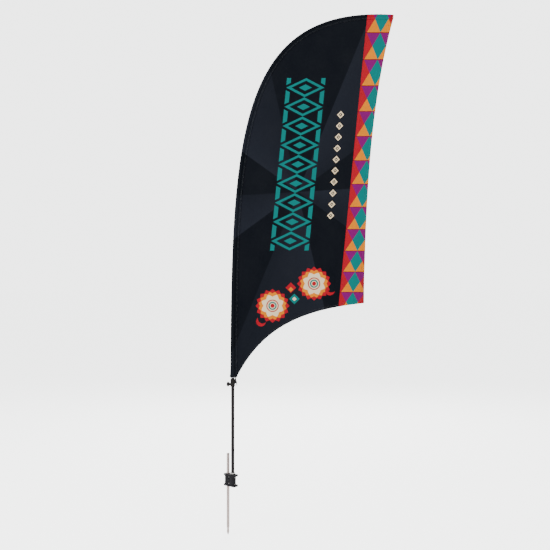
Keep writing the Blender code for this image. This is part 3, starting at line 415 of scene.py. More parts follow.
@dataclass(frozen=True)
class Artwork:
    """The generic print: a dark sunburst, a border of diamonds, a column of lozenges and two rosettes.

    Sizes are metres on the flat cloth, across from the pole's axis and up from the ground.
    """

    night: Colour = (0.0036, 0.0048, 0.0078)
    dusk: Colour = (0.0120, 0.0142, 0.0215)
    teal: Colour = (0.001, 0.165, 0.156)
    red: Colour = (0.400, 0.008, 0.018)
    orange: Colour = (0.740, 0.215, 0.004)
    purple: Colour = (0.190, 0.004, 0.130)
    cream: Colour = (0.860, 0.680, 0.440)

    burst_centre: tuple[float, float] = (0.295, 1.330)
    burst_rays: float = 10.0
    border_foot: tuple[float, float] = (0.4850, 0.8765)
    border_lean: float = 0.0983
    row_height: float = 0.0903
    row_growth: float = 0.00149
    diamond: float = 0.0540
    diamond_growth: float = 0.12
    first_diamond: float = 0.0050
    seam: float = 0.014
    column_edges: tuple[float, float] = (-0.335, -0.160)
    column_ends: tuple[float, float] = (1.065, 1.845)
    column_count: float = 9.0
    beads_edges: tuple[float, float] = (-0.092, -0.060)
    beads_ends: tuple[float, float] = (1.198, 1.705)
    beads_count: float = 10.0
    left_rosette: tuple[float, float] = (0.180, 0.815)
    right_rosette: tuple[float, float] = (0.368, 0.915)
    rosette_radius: float = 0.078

    def make(self, name: str, weave_map: str = PRINT_MAP) -> bpy.types.Material:
        """Return the printed cloth as a material.

        Args:
            name: the material's name.
            weave_map: the surface map that its threads run along.

        Returns:
            The material.
        """
        recipe = Recipe(name).set(Sheen_Weight=0.02, Sheen_Roughness=0.45, Specular_IOR_Level=0.04)
        x, z = recipe.surface_map(PRINT_MAP)
        inset = x - (z - self.border_foot[1]) * self.border_lean - self.border_foot[0]
        colour = self.sunburst(recipe, x, z)
        colour = self.lozenges(recipe, colour, inset, z)
        colour = self.beads(recipe, colour, inset, z)
        for centre in (self.left_rosette, self.right_rosette):
            colour = self.rosette(recipe, colour, x - centre[0], z - centre[1])
        colour = self.sprinkles(recipe, colour, x, z)
        colour = self.border(recipe, colour, inset, z)
        fade = recipe.spread(recipe.noise(9.0, 5.0), 0.0, 0.12)
        recipe.colour(recipe.blend(fade, colour, (0.020, 0.021, 0.025)))
        recipe.roughness(recipe.spread(recipe.noise(40.0, 4.0), 0.60, 0.76))
        along, across = recipe.surface_map(weave_map)
        knit = woven(along, across, 0.0008)
        recipe.relief([(knit, Weave.KNIT.value), (recipe.noise(17.0, 3.0, (1.0, 1.0, 0.5)), 0.0011)])
        return recipe.material

    def sunburst(self, recipe: Recipe, x: Field, z: Field) -> bpy.types.NodeSocket:
        """Return the ground: wedges that alternate between two dark tones."""
        across = x - self.burst_centre[0]
        up = z - self.burst_centre[1]
        angle = up.maths("ARCTAN2", across) / (2 * math.pi)
        bend = (angle * (4 * math.pi)).maths("COSINE") * -0.0125 + 0.003
        wedge = (angle + bend + 2.0) * self.burst_rays
        tone = (wedge / 2.0).part().above(0.5)
        shade = (wedge.part() - 0.5) * 0.5 + 0.75
        far = recipe.spread((across * across + up * up).maths("SQRT"), 1.0, 0.72, 0.1, 0.9)
        return recipe.blend(tone * shade * far, self.night, self.dusk)

    def border(self, recipe: Recipe, under: object, inset: Field, z: Field) -> bpy.types.NodeSocket:
        """Lay the band of diamonds along the fly edge, its rows growing towards the peak."""
        rise = z - self.border_foot[1]
        root = (rise * (4 * self.row_growth) + self.row_height ** 2).maths("SQRT")
        row = (root - self.row_height) / (2 * self.row_growth) + 20.0
        height = row.part()
        widen = rise * self.diamond_growth + 1.0
        place = (inset / widen - self.first_diamond) / self.diamond + 20.5
        off = (place.part() - 0.5).size() * 2.0 + ((height - 0.5).size() * 2.0)
        odd = (place.whole() / 2.0).part().above(0.25)
        stones = recipe.blend(odd, self.red, self.teal)
        gaps = recipe.blend(height.above(0.5), self.orange, self.purple)
        band = recipe.blend(off.below(1.0) | place.below(20.5), gaps, stones)
        line = height.below(self.seam) | height.above(1.0 - self.seam)
        band = recipe.blend(line, band, tuple(c * 0.45 for c in self.red))
        return recipe.blend(inset.above(0.0), under, band)

    def lozenges(self, recipe: Recipe, under: object, inset: Field, z: Field) -> bpy.types.NodeSocket:
        """Lay a column of outlined lozenges, each with a small stone and two bars."""
        low, high = self.column_edges
        start, end = self.column_ends
        across = (inset - (low + high) / 2) / ((high - low) / 2)
        place = (z - start) / ((end - start) / self.column_count)
        up = (place.part() - 0.5) * 2.0
        ring = across.size() + up.size()
        outline = ring.between(0.72, 0.99)
        stone = ring.below(0.34)
        corner = ring.above(1.26) & across.size().above(0.78)
        inside = place.between(0.0, self.column_count) & across.size().below(1.0)
        return recipe.blend((outline | stone | corner) & inside, under, self.teal)

    def beads(self, recipe: Recipe, under: object, inset: Field, z: Field) -> bpy.types.NodeSocket:
        """Lay a string of small cream diamonds beside the border."""
        low, high = self.beads_edges
        start, end = self.beads_ends
        across = (inset - (low + high) / 2) / ((high - low) / 2)
        place = (z - start) / ((end - start) / self.beads_count)
        up = (place.part() - 0.5) * 3.0
        ring = across.size() + up.size()
        mask = (ring.between(0.55, 1.0) | ring.below(0.22)) & place.between(0.0, self.beads_count)
        return recipe.blend(mask, under, self.cream)

    def rosette(self, recipe: Recipe, under: object, across: Field, up: Field) -> bpy.types.NodeSocket:
        """Lay a round petalled rosette with a zigzag ring."""
        radius = (across * across + up * up).maths("SQRT") / self.rosette_radius
        angle = up.maths("ARCTAN2", across) / (2 * math.pi) + 1.0
        zigzag = ((angle * 16.0).part() - 0.5).size() * 2.0
        petals = ((angle * 8.0).part() - 0.5).size() * 2.0
        colour = recipe.blend(radius.below(zigzag * 0.14 + 0.84), under, self.red)
        colour = recipe.blend(radius.below(zigzag * -0.10 + 0.82), colour, self.orange)
        colour = recipe.blend(radius.below(petals * -0.16 + 0.68), colour, self.cream)
        colour = recipe.blend(radius.between(0.30, 0.36) | radius.below(0.12), colour, self.red)
        return recipe.blend(radius.between(0.16, 0.24), colour, self.teal)

    def sprinkles(self, recipe: Recipe, under: object, x: Field, z: Field) -> bpy.types.NodeSocket:
        """Lay a few small diamonds and crescents around the rosettes."""
        colour = under
        for across, up, size, tint in (
            (0.263, 0.897, 0.024, self.red),
            (0.263, 0.889, 0.011, self.orange),
            (0.279, 0.846, 0.024, self.teal),
            (0.279, 0.846, 0.010, self.cream),
        ):
            ring = (x - across).size() + (z - up).size()
            colour = recipe.blend(ring.below(size), colour, tint)
        for across, up in ((0.128, 0.744), (0.440, 0.884)):
            near = self.distance(x, z, across, up)
            bite = self.distance(x, z, across + 0.007, up + 0.012)
            colour = recipe.blend(near.below(0.022) & bite.above(0.021), colour, self.red)
        return colour

    @staticmethod
    def distance(x: Field, z: Field, across: float, up: float) -> Field:
        """Return the distance from a point of the cloth."""
        return ((x - across).maths("POWER", 2.0) + (z - up).maths("POWER", 2.0)).maths("SQRT")


# --- meshes ---

def new_piece(name: str, points: Points, faces: Sequence[Sequence[int]],
              material: bpy.types.Material | None = None) -> bpy.types.Object:
    """Make a linked mesh object, shaded smooth.

    Args:
        name: the piece's name.
        points: its points, in metres.
        faces: its faces, as indices.
        material: its only material.

    Returns:
        The object.
    """
    mesh = bpy.data.meshes.new(name)
    mesh.from_pydata([tuple(p) for p in points], [], [tuple(f) for f in faces])
    mesh.validate()
    mesh.shade_smooth()
    if material:
        mesh.materials.append(material)
    made = bpy.data.objects.new(name, mesh)
    bpy.context.scene.collection.objects.link(made)
    return made


def grid_faces(rows: int, columns: int, closed: bool = False,
               looped: bool = False) -> list[tuple[int, int, int, int]]:
    """Return the quads of a grid of points kept row by row.

    Args:
        rows: how many rows there are.
        columns: how many points a row has.
        closed: whether the last column joins the first.
        looped: whether the last row joins the first.

    Returns:
        The faces, as indices.
    """
    faces = []
    for i in range(rows if looped else rows - 1):
        low = i * columns
        high = (i + 1) % rows * columns
        for j in range(columns if closed else columns - 1):
            k = (j + 1) % columns
            faces.append((low + j, low + k, high + k, high + j))
    return faces


def unit(vectors: Points) -> Points:
    """Return vectors of the same directions, one metre long."""
    return vectors / np.linalg.norm(vectors, axis=1)[:, None]


def right_of(along: Points) -> Points:
    """Return flat directions turned a quarter clockwise."""
    return np.stack([along[:, 1], -along[:, 0]], axis=1)


def distances(points: Points) -> Points:
    """Return how far along a line each of its points lies."""
    return np.concatenate([[0.0], np.cumsum(np.linalg.norm(np.diff(points, axis=0), axis=1))])


def lay_map(made: bpy.types.Object, name: str, places: Points) -> None:
    """Write a surface map from one pair of numbers for each point of the mesh."""
    layer = made.data.uv_layers.new(name=name)
    corners = np.empty(len(made.data.loops), dtype=np.int32)
    made.data.loops.foreach_get("vertex_index", corners)
    layer.data.foreach_set("uv", np.asarray(places, dtype=np.float32)[corners].ravel())


def thicken(made: bpy.types.Object, thickness: float, offset: float = 0.0) -> None:
    """Turn an open sheet into a thin closed one."""
    step = made.modifiers.new("Thickness", "SOLIDIFY")
    step.thickness = thickness
    step.offset = offset
    step.use_even_offset = True
    apply_modifiers(made)


def apply_modifiers(made: bpy.types.Object) -> None:
    """Replace a piece's mesh by what its modifiers make."""
    seen = made.evaluated_get(bpy.context.evaluated_depsgraph_get())
    mesh = bpy.data.meshes.new_from_object(seen)
    made.modifiers.clear()
    made.data = mesh


def smooth_through(points: Points, count: int) -> Points:
    """Return evenly spaced points of the smooth curve through some points.

    Args:
        points: the points that the curve passes.
        count: how many points to return.

    Returns:
        The points along the curve.
    """
    before = 2 * points[0] - points[1]
    after = 2 * points[-1] - points[-2]
    p = np.vstack([before, points, after])
    fine = []
    for i in range(1, len(p) - 2):
        for t in np.linspace(0.0, 1.0, 12, endpoint=False):
            a = 2 * p[i]
            b = (p[i + 1] - p[i - 1]) * t
            c = (2 * p[i - 1] - 5 * p[i] + 4 * p[i + 1] - p[i + 2]) * t * t
            d = (3 * p[i] - p[i - 1] - 3 * p[i + 1] + p[i + 2]) * t ** 3
            fine.append(0.5 * (a + b + c + d))
    fine.append(points[-1])
    return even(np.array(fine), count)


def even(points: Points, count: int) -> Points:
    """Return points at even distances along a line of points."""
    along = distances(points)
    marks = np.linspace(0.0, along[-1], count)
    return np.stack([np.interp(marks, along, points[:, k]) for k in range(points.shape[1])], axis=1)


def run_length(points: Points) -> float:
    """Return the length of a line of points."""
    return float(np.linalg.norm(np.diff(points, axis=0), axis=1).sum())


def stitch_row(name: str, path: Points, out: Points, thread: bpy.types.Material,
               pitch: float = 0.0032, width: float = 0.00055) -> bpy.types.Object:
    """Make a row of lock stitches that lie along a path.

    Args:
        name: the piece's name.
        path: the seam line.
        out: the direction away from the cloth.
        thread: the thread's material.
        pitch: from one stitch to the next.
        width: the thread's width.

    Returns:
        One object with every stitch.
    """
    count = max(2, int(run_length(path) / pitch))
    line = even(path, count + 1)
    out = np.tile(out, (count + 1, 1))
    middle = (line[:-1] + line[1:]) / 2
    along = line[1:] - line[:-1]
    half = along * 0.39
    normal = unit(out[:-1])
    side = unit(np.cross(along, normal)) * (width / 2)
    lift = normal * STITCH_PROUD
    rings = []
    for reach, size in ((-1.0, 0.35), (-0.62, 0.95), (0.62, 0.95), (1.0, 0.35)):
        centre = middle + half * reach
        rings.append([centre - side * size - lift * 0.4, centre - side * size * 0.6 + lift * size,
                      centre + side * size * 0.6 + lift * size, centre + side * size - lift * 0.4])
    points = np.array(rings).transpose(2, 0, 1, 3).reshape(-1, 3)
    faces = []
    for i in range(count):
        base = i * 16
        for ring in range(3):
            for k in range(4):
                a = base + ring * 4 + k
                b = base + ring * 4 + (k + 1) % 4
                faces.append((a, b, b + 4, a + 4))
        faces.append((base + 3, base + 2, base + 1, base))
        faces.append((base + 12, base + 13, base + 14, base + 15))
    return new_piece(name, points, faces, thread)


def soften(made: bpy.types.Object, width: float, segments: int = 2) -> None:
    """Round a hard part's edges a little, as a mould or a file does."""
    step = made.modifiers.new("Soft edges", "BEVEL")
    step.width = width
    step.segments = segments
    step.limit_method = "ANGLE"
    step.angle_limit = math.radians(50)
    step.harden_normals = False


def dress(material: bpy.types.Material, *nodes: str) -> None:
    """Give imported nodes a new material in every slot."""
    for name in nodes:
        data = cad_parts[name].data
        data.materials.clear()
        data.materials.append(material)
        LOG.info("%s is dressed", name)


def sew_on(made: bpy.types.Object, node: str = "") -> None:
    """Let a soft piece ride on the pole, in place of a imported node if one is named."""
    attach(made, "pole")
    if node:
        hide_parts(node)
        LOG.info("%s replaces %s", made.name, node)


def centre_of(node: str) -> Vector:
    """Return the middle of a node's box."""
    low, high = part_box(node)
    return (low + high) / 2


# --- the cloth's shape ---

@dataclass
class SailPlan:
    """The flag's flat outline and its pole's axis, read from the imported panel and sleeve."""

    columns: int = 41
    rows: int = 105
    luff: Points = field(init=False)
    fly: Points = field(init=False)
    foot: Points = field(init=False)
    axis: Points = field(init=False)
    radii: Points = field(init=False)
    pole_x: float = field(init=False)
    middle_y: float = field(init=False)

    def __post_init__(self) -> None:
        """Read the outline and work out the pole's axis beside it."""
        self.pole_x = centre_of("spindle").x
        self.middle_y = centre_of("flag_liner").y
        outline = self.read_outline()
        low_left = int(np.argmin(outline[:, 0] + outline[:, 1]))
        outline = np.roll(outline, -low_left, axis=0)
        if outline[1, 1] < outline[-1, 1]:
            outline = np.roll(outline[::-1], 1, axis=0)
        peak = int(np.argmax(outline[:, 0] + outline[:, 1]))
        clew = peak + int(np.argmax(outline[peak:, 0] - outline[peak:, 1]))
        self.luff = outline[:peak]
        self.fly = outline[peak:clew + 1][::-1]
        self.foot = np.vstack([outline[clew:], outline[:1]])[::-1]
        self.read_axis()

    @staticmethod
    def read_outline() -> Points:
        """Return the front panel's outline as (x, z) points in order."""
        bm = bmesh.new()
        bm.from_mesh(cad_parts["flag_front_panel"].data)
        bmesh.ops.remove_doubles(bm, verts=bm.verts, dist=1e-6)
        front = {f for f in bm.faces if f.normal.y < -0.9}
        rim = [e for e in bm.edges if sum(f in front for f in e.link_faces) == 1]
        start = rim[0].verts[0]
        at = rim[0].verts[1]
        order = [start, at]
        left = set(rim[1:])
        while left:
            step = next((e for e in at.link_edges if e in left), None)
            if step is None:
                break
            left.remove(step)
            at = step.other_vert(at)
            order.append(at)
        points = np.array([(v.co.x, v.co.z) for v in order[:-1]])
        bm.free()
        return points

    def read_axis(self) -> None:
        """Work out the pole's axis and the sleeve's radius from the luff edge and the sleeve's ends."""
        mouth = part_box("pole_sleeve")
        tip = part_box("peak_pocket")
        foot_radius = (mouth[1].y - mouth[0].y) / 2
        tip_radius = (tip[1].y - tip[0].y) / 2
        line = smooth_through(self.luff[1:], 180)
        inward = right_of(unit(np.gradient(line, axis=0)))
        share = np.linspace(0.0, 1.0, len(line))
        gap = self.luff[0, 0] - self.pole_x - foot_radius
        radii = foot_radius + (tip_radius - foot_radius) * share
        axis = line - inward * (radii + gap)[:, None]
        start = np.array([self.pole_x, mouth[0].z])
        self.axis = np.vstack([start, axis])
        self.radii = np.concatenate([[foot_radius], radii])

    def lay_print(self, made: bpy.types.Object, places: Points, chart: str = PRINT_MAP) -> None:
        """Carry the flag's print over a piece, from the (x, z) place of each of its points."""
        lay_map(made, chart, places - np.array([self.pole_x, 0.0]))

    def flat_grid(self) -> Points:
        """Return the flag's points, rows from foot to peak and columns from luff to fly, as (x, z)."""
        luff = smooth_through(self.luff, self.rows)
        fly = smooth_through(self.fly, self.rows)
        foot = smooth_through(self.foot, self.columns)
        across = np.linspace(0.0, 1.0, self.columns)[None, :, None]
        up = np.linspace(0.0, 1.0, self.rows)[:, None, None]
        grid = luff[:, None, :] * (1 - across) + fly[:, None, :] * across
        straight = foot[0] * (1 - across[0]) + foot[-1] * across[0]
        return grid + (foot - straight)[None, :, :] * (1 - up) ** 3


@dataclass
class Sailcloth:
    """The cloth in the air: the flat cut, billowed and settled, with ways to read it."""

    plan: SailPlan
    billow: float = 0.0060
    ripple: float = 0.0022
    most_lift: float = 0.0090
    most_move: float = 0.004
    settle_frames: int = 20
    fold_waves: tuple[float, float] = (13.0, 9.0)
    fold_reach: float = 0.35
    knit: tuple[tuple[str, float], ...] = (
        ("quality", 6),
        ("mass", 0.02),
        ("tension_stiffness", 40.0),
        ("compression_stiffness", 20.0),
        ("shear_stiffness", 12.0),
        ("bending_stiffness", 0.6),
        ("air_damping", 3.0),
    )
    flat: Points = field(init=False)
    shape: Points = field(init=False)

    def __post_init__(self) -> None:
        """Lay out the flat cut, billow it and let it settle."""
        self.flat = self.plan.flat_grid()
        self.shape = self.start_shape()
        self.settle()
        lift = abs(self.shape[..., 1] - self.plan.middle_y).max()
        LOG.info("cloth lifts %.1f mm from its plane", 1000 * lift)

    def start_shape(self) -> Points:
        """Return the cloth with a shallow belly and folds that run in from its two lower corners."""
        across = np.linspace(0.0, 1.0, self.plan.columns)[None, :]
        up = np.linspace(0.0, 1.0, self.plan.rows)[:, None]
        x = self.flat[..., 0]
        z = self.flat[..., 1]
        belly = np.sin(math.pi * np.clip(across, 0, 1)) * np.sin(math.pi * np.clip(up * 0.9 + 0.05, 0, 1))
        edge = across ** 2 * np.sin(2 * math.pi * (up * 1.6 + 0.15)) * (1 - up)
        folds = np.zeros_like(x)
        for corner, waves in zip((self.plan.foot[0], self.plan.foot[-1]), self.fold_waves):
            away = np.hypot(x - corner[0], z - corner[1])
            angle = np.arctan2(z - corner[1], x - corner[0])
            fade = np.exp(-away / self.fold_reach)
            folds += np.sin(angle * waves + 0.6) * fade * np.clip(away / 0.05, 0, 1)
        held = np.clip(across / 0.12, 0, 1) * np.clip((1 - up) / 0.06, 0, 1)
        lift = (belly * self.billow + edge * self.billow * 0.55 + folds * self.ripple) * held
        return np.stack([x, self.plan.middle_y + lift, z], axis=2)

    def settle(self) -> None:
        """Let the cloth hang from its sleeve and peak under its own weight for a moment."""
        rows, columns = self.shape.shape[:2]
        sheet = new_piece("settling_cloth", self.shape.reshape(-1, 3), grid_faces(rows, columns))
        pins = sheet.vertex_groups.new(name="Held")
        held = [i * columns + j for i in range(rows) for j in range(columns) if j < 2 or i > rows - 3]
        pins.add(held, 1.0, "REPLACE")
        step = sheet.modifiers.new("Cloth", "CLOTH")
        for setting, value in self.knit:
            setattr(step.settings, setting, value)
        step.settings.vertex_group_mass = "Held"
        step.settings.effector_weights.gravity = 0.12
        step.collision_settings.use_collision = False
        scene = bpy.context.scene
        for number in range(1, self.settle_frames + 1):
            scene.frame_set(number)
        seen = sheet.evaluated_get(bpy.context.evaluated_depsgraph_get())
        settled = np.array([tuple(v.co) for v in seen.data.vertices]).reshape(rows, columns, 3)
        scene.frame_set(1)
        bpy.data.objects.remove(sheet, do_unlink=True)
        moved = np.clip(settled - self.shape, -self.most_move, self.most_move)
        result = self.shape + moved
        lift = np.clip(result[..., 1] - self.plan.middle_y, -self.most_lift, self.most_lift)
        result[..., 1] = self.plan.middle_y + lift
        self.shape = result

    def at(self, across: float, up: float) -> Points:
        """Return the cloth's point at a share of its width and height, both 0 to 1."""
        i = min(max(up, 0.0), 1.0) * (self.plan.rows - 1)
        j = min(max(across, 0.0), 1.0) * (self.plan.columns - 1)
        i0 = min(int(i), self.plan.rows - 2)
        j0 = min(int(j), self.plan.columns - 2)
        u = i - i0
        v = j - j0
        low = self.shape[i0, j0] * (1 - v) + self.shape[i0, j0 + 1] * v
        high = self.shape[i0 + 1, j0] * (1 - v) + self.shape[i0 + 1, j0 + 1] * v
        return low * (1 - u) + high * u

    def fly_line(self, inset: float, start: float = 0.0, end: float = 1.0, count: int = 110) -> Points:
        """Return a line on the cloth at a distance inside the fly edge."""
        line = []
        for up in np.linspace(start, end, count):
            wide = np.linalg.norm(self.at(1.0, up) - self.at(0.0, up))
            line.append(self.at(1.0 - inset / max(wide, inset * 1.2), up))
        return np.array(line)

    def foot_line(self, inset: float, start: float = 0.0, end: float = 1.0, count: int = 70) -> Points:
        """Return a line on the cloth at a distance above the foot edge."""
        line = []
        for across in np.linspace(start, end, count):
            base = self.at(across, 0.0)
            next_up = self.at(across, 0.02)
            tall = np.linalg.norm(next_up - base) / 0.02
            line.append(self.at(across, inset / tall))
        return np.array(line)


# --- sewn pieces ---

@dataclass
class FlagCloth:
    """The three layers of the flag with their hems and stitching."""

    plan: SailPlan
    cloth: Sailcloth
    thickness: float = 0.00035
    layer_pitch: float = 0.0007
    hem_width: float = 0.013
    hem_proud: float = 0.0004
    hem_thickness: float = 0.0003
    hem_edge: float = 0.0004
    hem_turn: float = 0.004
    hem_over: float = 0.22
    stitch_gaps: tuple[float, float] = (0.0015, 0.0060)
    stitch_ends: tuple[float, float] = (0.012, 0.985)

    def build(self) -> None:
        print_cloth = Artwork().make("printed_knit")
        lining = PlainCloth("blockout_lining", (0.028, 0.028, 0.030), Weave.KNIT).make()
        hems = [self.hem("fly_hem", self.cloth.fly_line, print_cloth),
                self.hem("foot_hem", self.cloth.foot_line, print_cloth)]
        stitching = self.stitches()
        for name, side, material in (
            ("flag_front_cloth", -1, print_cloth),
            ("flag_lining", 0, lining),
            ("flag_back_cloth", 1, print_cloth),
        ):
            panel = self.layer(name, side * self.layer_pitch, material)
            node = {-1: "flag_front_panel", 0: "flag_liner", 1: "flag_back_panel"}[side]
            sew_on(panel, node)
            self.declare(panel)

    def layer(self, name: str, offset: float, material: bpy.types.Material) -> bpy.types.Object:
        """Make one layer, offset from the middle of the cloth."""
        rows, columns = self.cloth.shape.shape[:2]
        points = self.cloth.shape.reshape(-1, 3).copy()
        points[:, 1] += offset
        panel = new_piece(name, points, grid_faces(rows, columns), material)
        for chart in (PRINT_MAP, TAPE_MAP):
            self.plan.lay_print(panel, self.cloth.flat.reshape(-1, 2), chart)
        thicken(panel, self.thickness)
        return panel

    def declare(self, panel: bpy.types.Object) -> None:
        """Log a layer's flat cut: its width, length and area."""
        low = self.cloth.flat.min(axis=(0, 1))
        high = self.cloth.flat.max(axis=(0, 1))
        width, length = (float(v) for v in high - low)
        a = self.cloth.flat[:-1, :-1]
        b = self.cloth.flat[:-1, 1:]
        c = self.cloth.flat[1:, 1:]
        d = self.cloth.flat[1:, :-1]
        first = c - a
        second = d - b
        area = float(np.abs(first[..., 0] * second[..., 1] - first[..., 1] * second[..., 0]).sum() / 2)
        LOG.info("%s is cut %.3f by %.3f m, %.3f square metres", panel.name, width, length, area)

    def hem(self, name: str, line_at: Callable[..., Points],
            material: bpy.types.Material) -> bpy.types.Object:
        """Make a folded hem that wraps an edge of all three layers.

        Args:
            name: the piece's name.
            line_at: gives the line on the cloth at an inset from the edge.
            material: the cloth it is made of.

        Returns:
            The hem.
        """
        outer = self.layer_pitch + self.thickness / 2 + self.hem_proud
        inner_line = line_at(self.hem_width)
        edge_line = line_at(self.hem_edge)
        over = edge_line - (line_at(self.hem_turn) - edge_line) * self.hem_over
        section = (
            (inner_line, -outer + self.hem_proud * 0.4), (inner_line, -outer), (edge_line, -outer),
            (over, -outer * 0.5), (over, outer * 0.5), (edge_line, outer), (inner_line, outer),
            (inner_line, outer - self.hem_proud * 0.4),
        )
        rows = len(edge_line)
        columns = len(section)
        points = np.zeros((rows, columns, 3))
        for k, (line, offset) in enumerate(section):
            points[:, k] = line
            points[:, k, 1] += offset
        points = points.reshape(-1, 3)
        made = new_piece(name, points, grid_faces(rows, columns), material)
        self.plan.lay_print(made, points[:, (0, 2)])
        thicken(made, self.hem_thickness)
        sew_on(made)
        LOG.info("%s is folded", name)
        return made

    def stitches(self) -> list[bpy.types.Object]:
        """Sew two rows along each hem, on both faces."""
        thread = Thread("black_polyester_thread", (0.020, 0.021, 0.024)).make()
        rows = []
        outer = self.layer_pitch + self.thickness / 2 + self.hem_proud + self.hem_thickness / 2
        for edge, line_at in (("fly", self.cloth.fly_line), ("foot", self.cloth.foot_line)):
            for number, inset in enumerate(self.hem_width - gap for gap in self.stitch_gaps):
                for face, side in (("front", -1.0), ("back", 1.0)):
                    line = line_at(inset, *self.stitch_ends)
                    line[:, 1] += side * outer
                    name = f"{edge}_stitches_{face}_{number + 1}"
                    row = stitch_row(name, line, np.array([0.0, side, 0.0]), thread)
                    sew_on(row)
                    rows.append(row)
        LOG.info("%d rows of hem stitches are sewn", len(rows))
        return rows


